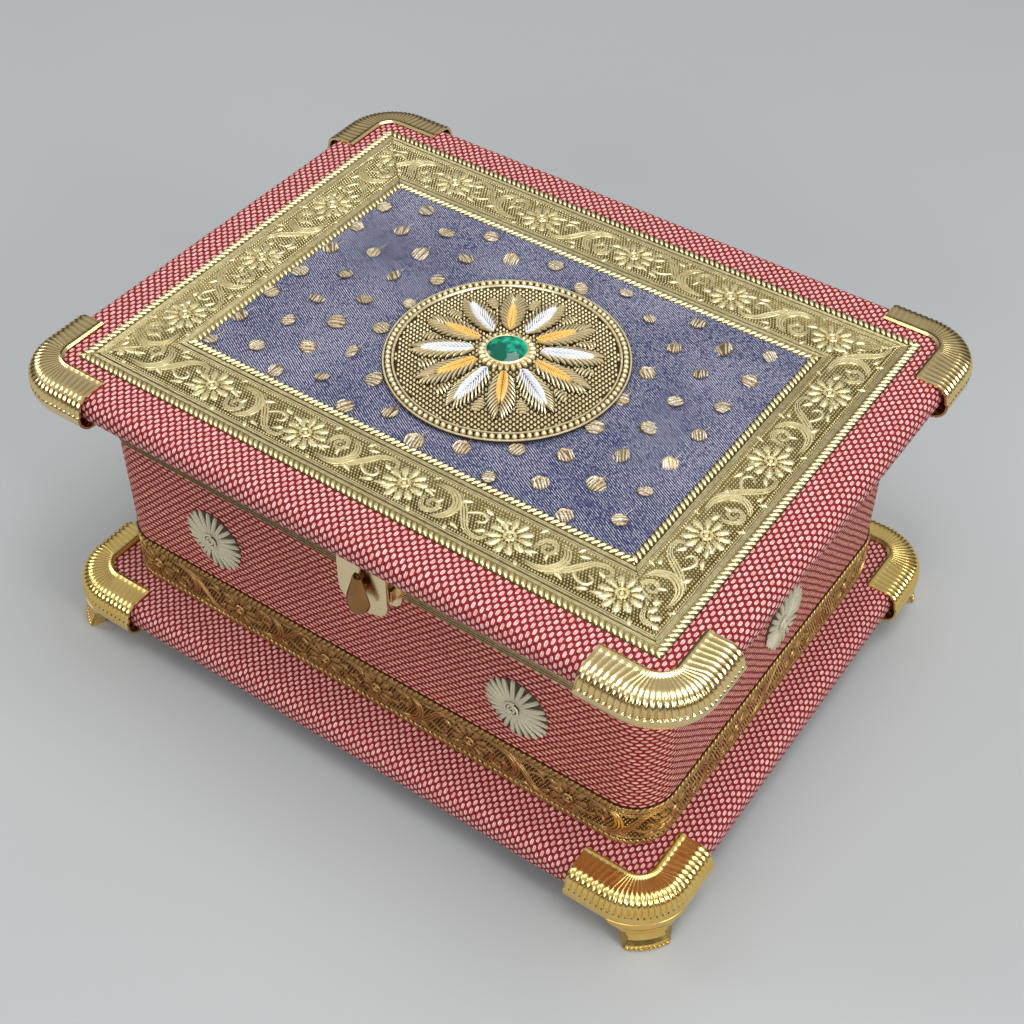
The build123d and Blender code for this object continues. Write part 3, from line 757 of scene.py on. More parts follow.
# Each side's length, its width, its neighbours' width, its start in the vine, and its place and turn.
for side, length, width, across, start, x, y, turn in (
        ("front", run_x, front_width, side_width, 0.0060, outer_low.x, outer_low.y + half_front, 0),
        ("back", run_x, front_width, side_width, 0.0230, outer_high.x, outer_high.y - half_front, 180),
        ("left", run_y, side_width, front_width, 0.0110, outer_low.x + half_side, outer_high.y, -90),
        ("right", run_y, side_width, front_width, 0.0080, outer_high.x - half_side, outer_low.y, 90)):
    strip = foil_strip("border_foil_" + side, length, width, start)
    trim_to(strip, (0, -width / 2, 0), Vector((-width, across, 0)).normalized())
    trim_to(strip, (length, -width / 2, 0), Vector((width, across, 0)).normalized())
    strip.data.transform(turned(x, y, panel_low.z, turn))
    smooth(strip, 50)
    coat(strip, border_gold)
    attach(strip, "lid")
    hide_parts("border_" + side)


def round_the_walls(strip, half_length, half_depth, radius, from_run, base):
    """Lays a flat strip round the walls: X becomes the run, Y the height, Z stands off the wall."""
    flat_x, flat_y = half_length - radius, half_depth - radius
    quarter = radius * math.pi / 2
    stops = [flat_x, flat_x + quarter, flat_x + quarter + 2 * flat_y, flat_x + 2 * quarter + 2 * flat_y]
    for vertex in strip.data.vertices:
        run = vertex.co.x + from_run
        side = math.copysign(1.0, run)
        far, out = abs(run), vertex.co.z
        if far < stops[0]:
            x, y = far, -half_depth - out
        elif far < stops[1]:
            turn = (far - stops[0]) / radius
            x, y = flat_x + (radius + out) * math.sin(turn), -flat_y - (radius + out) * math.cos(turn)
        elif far < stops[2]:
            x, y = half_length + out, far - stops[1] - flat_y
        elif far < stops[3]:
            turn = (far - stops[2]) / radius
            x, y = flat_x + (radius + out) * math.cos(turn), flat_y + (radius + out) * math.sin(turn)
        else:
            x, y = flat_x - (far - stops[3]), half_depth + out
        vertex.co = (side * x, y, vertex.co.y + base)


wall_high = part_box("body_fabric_wrap")[1]
half_round = 2 * (wall_high.x + wall_high.y - 2 * wall_corner) + math.pi * wall_corner
halves = (("left", -half_round), ("right", 0.0))
band_low, band_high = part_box("body_bottom_band")
for half, from_run in halves:
    strip = foil_strip("bottom_band_" + half, half_round, band_high.z - band_low.z, start=0.0045, slices=150,
                       pebble_step=0.00120)
    round_the_walls(strip, wall_high.x, wall_high.y, wall_corner, from_run, (band_low.z + band_high.z) / 2)
    smooth(strip, 50)
    coat(strip, shaded_band_gold)
    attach(strip, "box")
    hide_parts("body_bottom_band")

# The rim strip slopes down half a degree to the right, and its top is cut level with the rim.
trim_low, trim_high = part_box("body_top_trim")
roll_width = 0.0254
tilt = math.tan(math.radians(0.5))
trim_middle = trim_low.z + wall_high.x * tilt
for half, from_run in halves:
    strip = foil_strip("rim_strip_" + half, half_round, roll_width, start=0.012, slices=150, plain_edge=True)
    round_the_walls(strip, wall_high.x, wall_high.y, wall_corner, from_run, trim_middle + roll_width / 2)
    for vertex in strip.data.vertices:
        vertex.co.z -= vertex.co.x * tilt
    trim_to(strip, (0, 0, trim_high.z), (0, 0, 1))
    smooth(strip, 50)
    coat(strip, shaded_rim_gold)
    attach(strip, "box")
    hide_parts("body_top_trim")


# --- Corner guards of the lid and the plinth ---
# Thin brass stampings, fluted round their outer edge with a plain flange and a rolled lip inside.
# They are crimped over the slabs' corners; the lower four end in a stepped foot.

guard_arm = 0.0315
guard_corner = 0.0191
guard_flange = 0.0121
guard_notch = 0.0050
guard_round = 0.0052
guard_sheet = 0.0007
flute_count = 30


def bright_brass(name, colour, deep, roughness):
    """Lacquered brass with faint clouding and fine scratches."""
    material, tree, surface = start_material(name, roughness=roughness, metallic=1.0)
    feed(tree, surface, "Base Color", blend_colours(tree, noise(tree, 120.0, 4.0), deep, colour))
    feed(tree, surface, "Roughness", maths(tree, "MULTIPLY_ADD", noise(tree, 400.0), 0.16, roughness - 0.06))
    bump(tree, surface, noise(tree, 260.0, 5.0), 0.00006, 0.5)
    return material


# The plinth's guards take a more orange copy of the brass: painted reflection of the red walls above them.
guard_brass = {"lid": bright_brass("lid_guard_brass", (0.88, 0.69, 0.35), (0.70, 0.50, 0.21), 0.20),
               "plinth": bright_brass("plinth_guard_brass_painted_reflection", (0.94, 0.70, 0.26), (0.80, 0.53, 0.14), 0.20)}


def guard_shell(name, far_x, far_y, low, high):
    """Fluted channel round the corner at +X +Y, from the flange above to the one below."""
    arm = guard_arm - guard_corner
    quarter = guard_corner * math.pi / 2
    total = 2 * arm + quarter
    drop = high - low
    lip_share, lip_height, flute_depth = 0.20, 0.00045, 0.00010
    # The section's points: reach over the flange, fall down the side, and curl round the bullnose.
    section = [(t, 0.0, None) for t in np.linspace(0, 1, 9)]
    section += [(1.0, 0.0, t * math.pi / 2) for t in np.linspace(0, 1, 9)[1:]]
    section += [(1.0, t, math.pi / 2) for t in np.linspace(0, 1, 13)[1:]]
    section += [(1.0, 1.0, math.pi / 2 + t * math.pi / 2) for t in np.linspace(0, 1, 9)[1:]]
    section += [(t, 1.0, math.pi) for t in np.linspace(1, 0, 5)[1:]]
    outer_centre = Vector((far_x - guard_corner, far_y - guard_corner))
    notch_centre = Vector((far_x - guard_flange - guard_notch, far_y - guard_flange - guard_notch))
    shell = add(bpy.ops.mesh.primitive_grid_add, name, x_subdivisions=8 * flute_count,
                y_subdivisions=len(section) - 1, size=2)
    for vertex in shell.data.vertices:
        run = (vertex.co.x + 1) / 2 * total
        reach, fall, curl = section[round((vertex.co.y + 1) / 2 * (len(section) - 1))]
        if run < arm:
            angle, slide = 0.0, run - arm
        elif run < arm + quarter:
            angle, slide = (run - arm) / guard_corner, 0.0
        else:
            angle, slide = math.pi / 2, run - arm - quarter
        out = Vector((math.cos(angle), math.sin(angle)))
        inner = notch_centre + guard_notch * out
        start = outer_centre + (guard_corner - guard_round) * out
        if slide != 0.0:
            slip = Vector((0, slide)) if angle == 0.0 else Vector((-slide, 0))
            inner = inner + slip.normalized() * ((guard_arm - guard_flange - guard_notch) * (abs(slide) / arm))
            start = start + slip
        plan = inner.lerp(start, reach)
        flute = -abs(math.cos(math.pi * run / total * flute_count))
        if curl is None:
            level = high + flute_depth * flute * max(0.0, min(1.0, (reach - lip_share) / 0.15))
            if 0 < reach < lip_share:
                level += lip_height * math.sin(math.pi * reach / lip_share) ** 0.6
        elif curl == math.pi:
            level = low
        else:
            plan = start + out * guard_round * math.sin(curl)
            if curl < math.pi / 2:
                level, fade = high - guard_round * (1 - math.cos(curl)), 1.0
            elif curl == math.pi / 2:
                level = high - guard_round - fall * (drop - 2 * guard_round)
                fade = 0.5 + 0.5 * math.cos(math.pi * min(1.0, fall / 0.55))
            else:
                level, fade = low + guard_round * (1 + math.cos(curl)), 0.0
            deep = math.sin(min(curl, math.pi / 2)) ** 2
            swell = flute * (flute_depth + 0.00065 * deep) * fade
            plan = plan + out * swell * math.sin(curl)
            level += swell * math.cos(curl)
        vertex.co = (plan.x, plan.y, level)
    return shell


def outward(piece):
    """Turns a closed piece's faces outwards."""
    select_whole(piece)
    bpy.ops.mesh.normals_make_consistent(inside=False)
    leave_edit()


def spun(name, outline, axis, steps, degrees, merge, **settings):
    """Closed piece turned about an upright axis from (radius, level) points."""
    piece = add(bpy.ops.mesh.primitive_circle_add, name, vertices=len(outline), radius=0.01, **settings)
    for vertex, (radius, level) in zip(piece.data.vertices, outline):
        vertex.co = (axis.x + radius, axis.y, level)
    select_whole(piece)
    bpy.ops.mesh.spin(steps=steps, angle=math.radians(degrees), center=(axis.x, axis.y, 0), axis=(0, 0, 1))
    bpy.ops.mesh.select_all(action="SELECT")
    bpy.ops.mesh.remove_doubles(threshold=merge)
    bpy.ops.mesh.normals_make_consistent(inside=False)
    leave_edit()
    return piece


foot_outline = [(0.0150, 0.0), (0.0192, 0.0), (0.0196, 0.0004), (0.0196, 0.0014), (0.0191, 0.0022),
                (0.0184, 0.0030), (0.0179, 0.0040), (0.0178, 0.0050), (0.0181, 0.0053), (0.0179, 0.0058),
                (0.0180, 0.0068), (0.0183, 0.0071), (0.0182, 0.0077), (0.0186, 0.0090), (0.0190, 0.0106),
                (0.0190, 0.0122), (0.0150, 0.0122)]
toe_half = 17.5               # degrees of the corner's arc, each side of its middle
brow_half = 38.0
toe_level = 0.0035            # below this the toe flares
bead_radius = 0.0190


def guard_foot(name, far_x, far_y):
    """Apron that narrows from the guard to a stepped neck, and a flared toe on the table."""
    centre = Vector((far_x - guard_corner, far_y - guard_corner))
    foot = spun(name, foot_outline, centre, 30, 2 * brow_half, 0.00001, fill_type="NGON")
    turns = [math.degrees(math.atan2(v.co.y - centre.y, v.co.x - centre.x)) for v in foot.data.vertices]
    middle = (min(turns) + max(turns)) / 2
    for vertex, degrees in zip(foot.data.vertices, turns):
        reach = (vertex.co.xy - centre).length
        flare = max(0.0, min(1.0, (vertex.co.z - 0.0040) / 0.0070)) ** 1.5
        half = toe_half + (brow_half - toe_half) * flare
        if vertex.co.z < toe_level:
            half += 3.5 * (1 - vertex.co.z / toe_level)
        turn = math.radians(45 + (degrees - middle) * half / brow_half)
        vertex.co.x = centre.x + reach * math.cos(turn)
        vertex.co.y = centre.y + reach * math.sin(turn)
    beads = []
    for degrees in np.linspace(45 - toe_half, 45 + toe_half, 10):
        turn = math.radians(degrees)
        x, y = centre.x + bead_radius * math.cos(turn), centre.y + bead_radius * math.sin(turn)
        beads.append(turned(x, y, 0.0008, degrees))
    return joined([foot, copies(lump("toe_bead", 0.0013, 0.0011, 0.0008), beads, "toe_beads")], name)


corners = {"front_left": (-1, -1), "front_right": (1, -1), "back_left": (-1, 1), "back_right": (1, 1)}
for tier, body in (("plinth", "box"), ("lid", "lid")):
    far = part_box(tier + "_guard_back_right")[1]
    cover_low, cover_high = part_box(tier + "_fabric_cover")
    for corner, (flip_x, flip_y) in corners.items():
        name = tier + "_corner_" + corner
        guard = guard_shell(name, far.x, far.y, cover_low.z - guard_sheet, cover_high.z + guard_sheet)
        outward(guard)
        thicken(guard, guard_sheet)
        if tier == "plinth":
            guard = joined([guard, guard_foot(name + "_foot", far.x, far.y)], name)
        guard.data.transform(Matrix.Diagonal((flip_x, flip_y, 1, 1)))
        if flip_x * flip_y < 0:
            guard.data.flip_normals()
        smooth(guard, 40)
        coat(guard, guard_brass[tier])
        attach(guard, body)
        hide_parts(tier + "_guard_" + corner)


# --- Brocade panel in the lid's border ---
# Blue cotton twill flecked with white, sewn over with staggered gold sequins on a running thread.
# It is glued on the lid and its edges lie under the border.

sequin_radius = 0.0025
column_first = -0.06075       # the first column of sequins that the border leaves whole
column_step = 0.0127
row_step = 0.0140
stitch_gap = 0.00082          # six stitches lie side by side over each sequin


rib_pitch = 0.00066


def mapped(tree, place, socket, value):
    """A place turned or stretched by a Mapping node."""
    node = add_node(tree, "ShaderNodeMapping")
    node.inputs[socket].default_value = value
    tree.links.new(place, node.inputs["Vector"])
    return node.outputs[0]


def blue_twill():
    """Twill ribs that run aslant, with white flecks along them."""
    material, tree, surface = start_material("blue_twill", roughness=0.7)
    aslant = mapped(tree, object_place(tree), "Rotation", (0, 0, math.radians(28)))
    waver = maths(tree, "MULTIPLY", noise(tree, 60.0), 9.0)
    ribs = maths(tree, "MULTIPLY_ADD", parted(tree, aslant)["Y"], 2 * math.pi / rib_pitch, waver)
    rib = maths(tree, "SINE", ribs)
    fleck = noise(tree, 1.0, 3.0, mapped(tree, aslant, "Scale", (900, 3000, 1)))
    cloud = noise(tree, 34.0, 4.0)
    base = blend_colours(tree, cloud, (0.016, 0.021, 0.085), (0.042, 0.052, 0.140))
    flecked = maths(tree, "MULTIPLY_ADD", rib, 0.19, maths(tree, "MULTIPLY_ADD", cloud, 0.26, fleck))
    pale = ramp(tree, flecked, 0.60, 0.925)
    feed(tree, surface, "Base Color", blend_colours(tree, pale, base, (0.52, 0.51, 0.55)))
    bump(tree, surface, maths(tree, "MULTIPLY_ADD", rib, 0.6, fleck), 0.00022)
    surface.inputs["Specular IOR Level"].default_value = 0.25
    return material


panel = add(bpy.ops.mesh.primitive_grid_add, "brocade_panel", x_subdivisions=90, y_subdivisions=60, size=1)
size = panel_high - panel_low
slack = 0.0001                # room left for the ripples above and below
for vertex in panel.data.vertices:
    x, y = vertex.co.x * size.x, vertex.co.y * size.y
    ripple = 0.00006 * math.sin(x * 170 + 3 * math.sin(y * 60)) * math.cos(y * 120)
    vertex.co = (x, y, panel_high.z - slack + ripple)
thicken(panel, size.z - 2 * slack)
smooth(panel, 60)
coat(panel, blue_twill())
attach(panel, "lid")
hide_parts("lid_brocade_panel")

# A sequin is a cupped disc with a raised middle and a lightly scalloped edge.
sequin = add(bpy.ops.mesh.primitive_cylinder_add, "sequin", vertices=18, radius=sequin_radius, depth=0.00018)
select_faces(sequin, lambda face: face.normal.z > 0.9)
for inset, lift in ((0.0009, -0.00025), (0.0008, 0.00012)):
    bpy.ops.mesh.inset(thickness=inset)
    bpy.ops.transform.translate(value=(0, 0, lift))
leave_edit()
for vertex in sequin.data.vertices:
    if vertex.co.xy.length > 0.6 * sequin_radius:
        vertex.co.xy *= 1 + 0.07 * math.cos(6 * math.atan2(vertex.co.y, vertex.co.x))
medal_low, medal_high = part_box("medallion_plate")
medal_centre = (medal_low + medal_high).xy / 2
medal_radius = (medal_high.x - medal_low.x) / 2
edge_room = 0.0016            # a sequin's middle stays this far inside the panel
rng = np.random.default_rng(7)
sequin_places, stitch_places, thread_places = [], [], []
for column in range(-1, 11):
    for row in range(-5, 5):
        x = column_first + column * column_step + rng.normal(0, 0.0003)
        y = (0.0014 if column % 2 == 0 else -0.0046) + row * row_step + rng.normal(0, 0.0004)
        tip = rng.normal(0, 0.13, 2)
        size_share = 1 + rng.normal(0, 0.06)
        twist_turn = rng.uniform(0, math.pi)
        thread = rng.uniform(0, 1)
        inside_panel = (panel_low.x + edge_room < x < panel_high.x - edge_room
                        and panel_low.y + edge_room < y < panel_high.y - edge_room)
        if not inside_panel or math.hypot(x - medal_centre.x, y - medal_centre.y) < medal_radius + 0.0005:
            continue
        place = (Matrix.Translation((x, y, panel_high.z + 0.00040)) @ Matrix.Rotation(tip[0], 4, "X")
                 @ Matrix.Rotation(tip[1], 4, "Y") @ Matrix.Rotation(twist_turn, 4, "Z")
                 @ Matrix.Scale(size_share, 4))
        sequin_places.append(place)
        for k in (-2.5, -1.5, -0.5, 0.5, 1.5, 2.5):
            off = k * stitch_gap
            half_run = math.sqrt(sequin_radius ** 2 - off ** 2) * rng.uniform(0.86, 1.06)
            stitch_places.append(place @ Matrix.Translation((-half_run, off, 0.00005))
                                 @ Matrix.Rotation(rng.normal(0, 0.10), 4, "Z")
                                 @ Matrix.Diagonal((2 * half_run, 1, 1, 1)))
        if thread < 0.55 and y + 0.0072 < panel_high.y:
            thread_places.append(turned(x, y + 0.0018, panel_high.z, 80 + 20 * thread))
sequins = copies(sequin, sequin_places, "sequins")
smooth(sequins, 40)


def each_its_own(tree):
    """A random value for each separate piece of a mesh."""
    return add_node(tree, "ShaderNodeNewGeometry").outputs["Random Per Island"]


sequin_gold, tree, surface = start_material("sequin_gold", roughness=0.32, metallic=0.75)
tone = blend_colours(tree, each_its_own(tree), (0.20, 0.13, 0.07), (0.42, 0.32, 0.18))
feed(tree, surface, "Base Color", tone)
bump(tree, surface, noise(tree, 1500.0), 0.0001)
coat(sequins, sequin_gold)
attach(sequins, "lid")

stitch = lump("stitch", 1.0, 0.00074, 0.00042, narrow=0.85, sides=6)
running = lump("running_thread", 0.0046, 0.00022, 0.00016, sides=6)
stitches = joined([copies(stitch, stitch_places, "sequin_stitches"),
                   copies(running, thread_places, "running_threads")], "sequin_stitches")
smooth(stitches, 60)
stitch_thread, tree, surface = start_material("stitch_thread", roughness=0.42, metallic=0.35)
tone = blend_colours(tree, each_its_own(tree), (0.60, 0.48, 0.29), (0.95, 0.90, 0.76))
lit = ramp(tree, noise(tree, 2000.0), 0.35, 0.6)
feed(tree, surface, "Base Color", blend_colours(tree, lit, (0.36, 0.28, 0.16), tone))
bump(tree, surface, noise(tree, 4000.0), 0.0001)
coat(stitches, stitch_thread)
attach(stitches, "lid")


# --- Medallion on the lid ---
# A pressed brass disc with painted shade in its hollows: beaded rim, pebbled face that swells to the middle,
# twelve feathered petals filled with white and amber enamel, and a green stone in a ring of claws.

plate_thickness = 0.0012
plate_rise = 0.0016
face_radius = medal_radius - 0.0036
bezel_radius = 0.0080


def face_level(radius):
    """Height of the medallion's face at a radius."""
    share = (face_radius - radius) / (face_radius - bezel_radius)
    return medal_low.z + plate_thickness + plate_rise * min(1.0, max(0.0, share))


def at_medal(radius, degrees, lift=0.0):
    """Place on the face with X pointing outwards along the spoke, tilted with the face."""
    turn = math.radians(degrees)
    slope = plate_rise / (face_radius - bezel_radius) if bezel_radius < radius < face_radius else 0.0
    return (turned(medal_centre.x + radius * math.cos(turn), medal_centre.y + radius * math.sin(turn),
                   face_level(radius) + lift, degrees) @ Matrix.Rotation(math.atan(slope), 4, "Y"))


def spun_disc(name, profile, steps=96):
    """Closed turned piece about the medallion's axis, from (radius, level) points."""
    return spun(name, profile, medal_centre, steps, 360, 0.000008)


hollow_shaded_brass, tree, surface = start_material("medallion_antique_brass", roughness=0.33, metallic=0.72)
shade_hollows(tree, surface, (150.0, (0.74, 0.60, 0.33), (0.93, 0.82, 0.54)), 700.0, 0.25, (0.25, 0.75),
            (0.060, 0.040, 0.014), (0.00006, 0.5))


ledge = medal_low.z + plate_thickness
pinhole = 0.0001              # radius at which the turned profile stops short of the axis
# The rim's profile: how far in from the edge, and how far above the ledge.
rim = [(medal_radius - inwards, ledge + rise) for inwards, rise in (
    (0.0014, -0.0006), (0.0001, -0.0005), (0, -0.0003), (0, 0), (0.0002, 0.0004), (0.0006, 0.0004),
    (0.0008, -0.0003), (0.0028, -0.0003), (0.0029, 0.0007), (0.0033, 0.0007))]
disc = [(pinhole, medal_low.z), (medal_radius - 0.0018, medal_low.z), *rim, (face_radius - 0.0001, ledge)]
disc += [(radius, face_level(radius)) for radius in np.linspace(face_radius - 0.001, bezel_radius, 8)]
disc += [(pinhole, face_level(0))]
plate = mark_relief(spun_disc("medallion_disc", disc), 0.0)
# The face between the dots and the rim's side under its lip keep relief 0 and take the hollow colour: painted shade
# on the face, painted shadow under the lip.
for vertex in plate.data.vertices:
    spoke = (vertex.co.xy - medal_centre).length
    raised = spoke > face_radius - 0.0008 and vertex.co.z > ledge + 0.0002
    plate.data.attributes["relief"].data[vertex.index].value = 0.8 if raised else 0.0

rim_bead = lump("rim_bead", 0.00165, 0.00160, 0.0013, sides=10, rings=8)
rim_bead.data.transform(Matrix.Translation((-0.00082, 0, 0)))
bead_count = 105
beads = [at_medal(medal_radius - 0.0018, 360 / bead_count * i) for i in range(bead_count)]
rim_beads = mark_relief(copies(rim_bead, beads, "rim_beads"), 0.9)

dot_step = 0.00140
row_lean = math.radians(80)   # the dots stand in slanting rows
dots = []
for i in range(-27, 28):
    for j in range(-27, 28):
        x = dot_step * (i * math.cos(row_lean) - j * math.sin(row_lean))
        y = dot_step * (i * math.sin(row_lean) + j * math.cos(row_lean))
        if bezel_radius + 0.0008 < math.hypot(x, y) < face_radius - 0.0004:
            dots.append(at_medal(math.hypot(x, y), math.degrees(math.atan2(y, x)), -0.00005))
face_dots = mark_relief(copies(dome("face_dot", 0.00050, 0.00050, 8), dots, "face_dots"), 0.75)


def mark_height(piece, low, high):
    """Relief that follows each stroke's height above the face, so that the hollows between strokes take the painted
    shade.
    """
    above = [vertex.co.z - face_level((vertex.co.xy - medal_centre).length) for vertex in piece.data.vertices]
    return mark_relief(piece, np.interp(above, (low, high), (0.0, 0.9)))


petal_foot = 0.0098           # radius at which the petals begin


def feather(name, spokes, half_width, height, lift, count, reach, lean, breadth):
    """Petals laid like feathers: strokes that leave the spine in pairs and overlap towards the tip."""
    stroke = lump("stroke", 1.0, breadth, height, narrow=0.8, sides=6, rings=8)
    places = []
    for degrees in spokes:
        for i in range(count):
            share = i / (count - 1)
            width = half_width * (0.42 + 0.58 * math.sin(math.pi * (0.12 + 0.72 * share)))
            length = width / math.sin(math.radians(lean)) * (1 - 0.18 * share)
            for side in (-1, 1):
                places.append(at_medal(petal_foot + reach * share, degrees, lift)
                              @ spin_about("Z", side * lean * (1 - 0.55 * share ** 2))
                              @ Matrix.Diagonal((length, 1, 1, 1)))
    return copies(stroke, places, name)


amber_spokes, white_spokes = range(0, 360, 60), range(30, 390, 60)
brass_feathers = mark_height(feather("brass_feathers", (*amber_spokes, *white_spokes), 0.0050, 0.0016, 0.0004,
                                     11, reach=0.0146, lean=40, breadth=0.00092), 0.0004, 0.0012)
# Between the petals stand small leaves, each of five strokes across the spoke.
curl_places = [at_medal(0.0218 + 0.00105 * k, 30 * i + 15, 0.0002) @ spin_about("Z", 104 if i % 2 else 76)
               @ Matrix.Translation((-length / 2, 0, 0)) @ Matrix.Diagonal((length, 1, 1, 1))
               for i in range(12) for k, length in enumerate((0.0022, 0.0034, 0.0042, 0.0038, 0.0024))]
curl = lump("curl", 1.0, 0.00095, 0.0012, narrow=0.9, sides=6)
curls = mark_height(copies(curl, curl_places, "curl_leaves"), 0.0002, 0.0006)
medallion = joined([plate, rim_beads, face_dots, brass_feathers, curls], "medallion")
smooth(medallion, 45)
coat(medallion, hollow_shaded_brass)
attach(medallion, "lid")
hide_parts("medallion_plate")


for hue, spokes, half_width, reach, light, deep in (
        ("white", white_spokes, 0.0026, 0.0130, (0.84, 0.85, 0.86), (0.60, 0.62, 0.65)),
        ("amber", amber_spokes, 0.0020, 0.0105, (0.92, 0.60, 0.17), (0.60, 0.34, 0.07))):
    petals = feather(hue + "_petals", spokes, half_width, 0.0010, 0.0013, 12, reach=reach, lean=32, breadth=0.00078)
    smooth(petals, 60)
    enamel = mottled(hue + "_petals_enamel", deep, light, 600.0, fine=1800.0, depth=0.00005, roughness=0.35)
    enamel_surface = enamel.node_tree.nodes["Principled BSDF"]
    enamel_surface.inputs["Coat Weight"].default_value = 0.5
    enamel_surface.inputs["Coat Roughness"].default_value = 0.15
    coat(petals, enamel)
    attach(petals, "lid")
    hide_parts(f"medallion_{hue}_petals")

bezel_low, bezel_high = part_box("medallion_bezel")
stone_low, stone_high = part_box("medallion_stone")
stone_radius = (stone_high.x - stone_low.x) / 2
bezel_profile = [(stone_radius - 0.0002, bezel_low.z), (stone_radius + 0.0005, bezel_low.z),
                 (stone_radius + 0.0004, bezel_high.z - 0.0007), (stone_radius, bezel_high.z - 0.0005),
                 (stone_radius - 0.0003, bezel_high.z - 0.0006)]
bezel_ring = spun_disc("stone_bezel", bezel_profile, 48)
claw_count = 26
claw_places = [at_medal(stone_radius - 0.0001, 360 / claw_count * i, 0.0006) @ spin_about("Y", 12)
               for i in range(claw_count)]
claws = copies(lump("claw", 0.0027, 0.00155, 0.0015, narrow=0.75), claw_places, "claws")
bezel_ring = joined([mark_relief(bezel_ring, 0.6), mark_relief(claws, 1.0)], "stone_bezel")
smooth(bezel_ring, 45)
coat(bezel_ring, hollow_shaded_brass)
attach(bezel_ring, "lid")
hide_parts("medallion_bezel")

# The stone's top is cut in two rows of facets, the upper row turned by half a facet.
facets = 16
stone = finish_place(add(bpy.ops.mesh.primitive_cylinder_add, "green_stone", vertices=facets, radius=stone_radius,
                         depth=stone_high.z - stone_low.z,
                         location=(*medal_centre, (stone_low.z + stone_high.z) / 2)))
select_faces(stone, lambda face: face.normal.z > 0.9)
bpy.ops.transform.translate(value=(0, 0, -0.0012))
bpy.ops.mesh.inset(thickness=0.0011)
bpy.ops.transform.translate(value=(0, 0, 0.0007))
bpy.ops.transform.rotate(value=math.pi / facets, orient_axis="Z", center_override=(*medal_centre, 0))
bpy.ops.mesh.inset(thickness=0.0013)
bpy.ops.transform.translate(value=(0, 0, 0.0005))
leave_edit()
pick(stone)
bpy.ops.object.shade_flat()
stone_glass, tree, surface = start_material("stone_glass", roughness=0.06)
slant = 0.32                  # how much brighter the glass is painted from its front to its back: painted light inside the stone
depth = maths(tree, "MULTIPLY_ADD", parted(tree, object_place(tree))["Y"], slant / stone_radius,
              noise(tree, 420.0, 2.0))
painted_stone_light = ramp(tree, maths(tree, "SUBTRACT", depth, slant * medal_centre.y / stone_radius), 0.40, 0.80)
feed(tree, surface, "Base Color", blend_colours(tree, painted_stone_light, (0.0, 0.085, 0.050), (0.01, 0.42, 0.24)))
surface.inputs["Specular IOR Level"].default_value = 0.35
surface.inputs["Coat Weight"].default_value = 0.15
surface.inputs["Coat Roughness"].default_value = 0.03
coat(stone, stone_glass)
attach(stone, "lid")
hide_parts("medallion_stone")


# --- Thread sunbursts on the walls ---
# Pale gold metallic thread laid in rays over a dark round patch and couched in a coil at the middle.
# Each one is made apart and stuck on the wall.

thread_gold, tree, surface = start_material("pale_gold_thread", roughness=0.48, metallic=0.25)
fine = noise(tree, 2400.0)
feed(tree, surface, "Base Color", blend_colours(tree, fine, (0.36, 0.32, 0.19), (0.80, 0.76, 0.57)))
bump(tree, surface, fine, 0.00012)
surface.inputs["Sheen Weight"].default_value = 0.2
patch_dark = mottled("sunburst_patch", (0.030, 0.016, 0.010), (0.085, 0.050, 0.028), 900.0, fine=2500.0,
                     depth=0.0002, roughness=0.85)

ray_count = 24
coil_turns = 2.2
patch_rise = 0.0005
hub_shift = (-0.0013, -0.0004)
reaches = (12.3, 12.4, 12.4, 11.2, 9.8, 8.7, 11.5, 12.0, 12.3)      # millimetres, each 45 degrees


def ray_reach(degrees):
    """How far the rays go from the coil at an angle from the right, counter-clockwise."""
    return float(np.interp(degrees % 360, range(0, 361, 45), reaches)) * unit


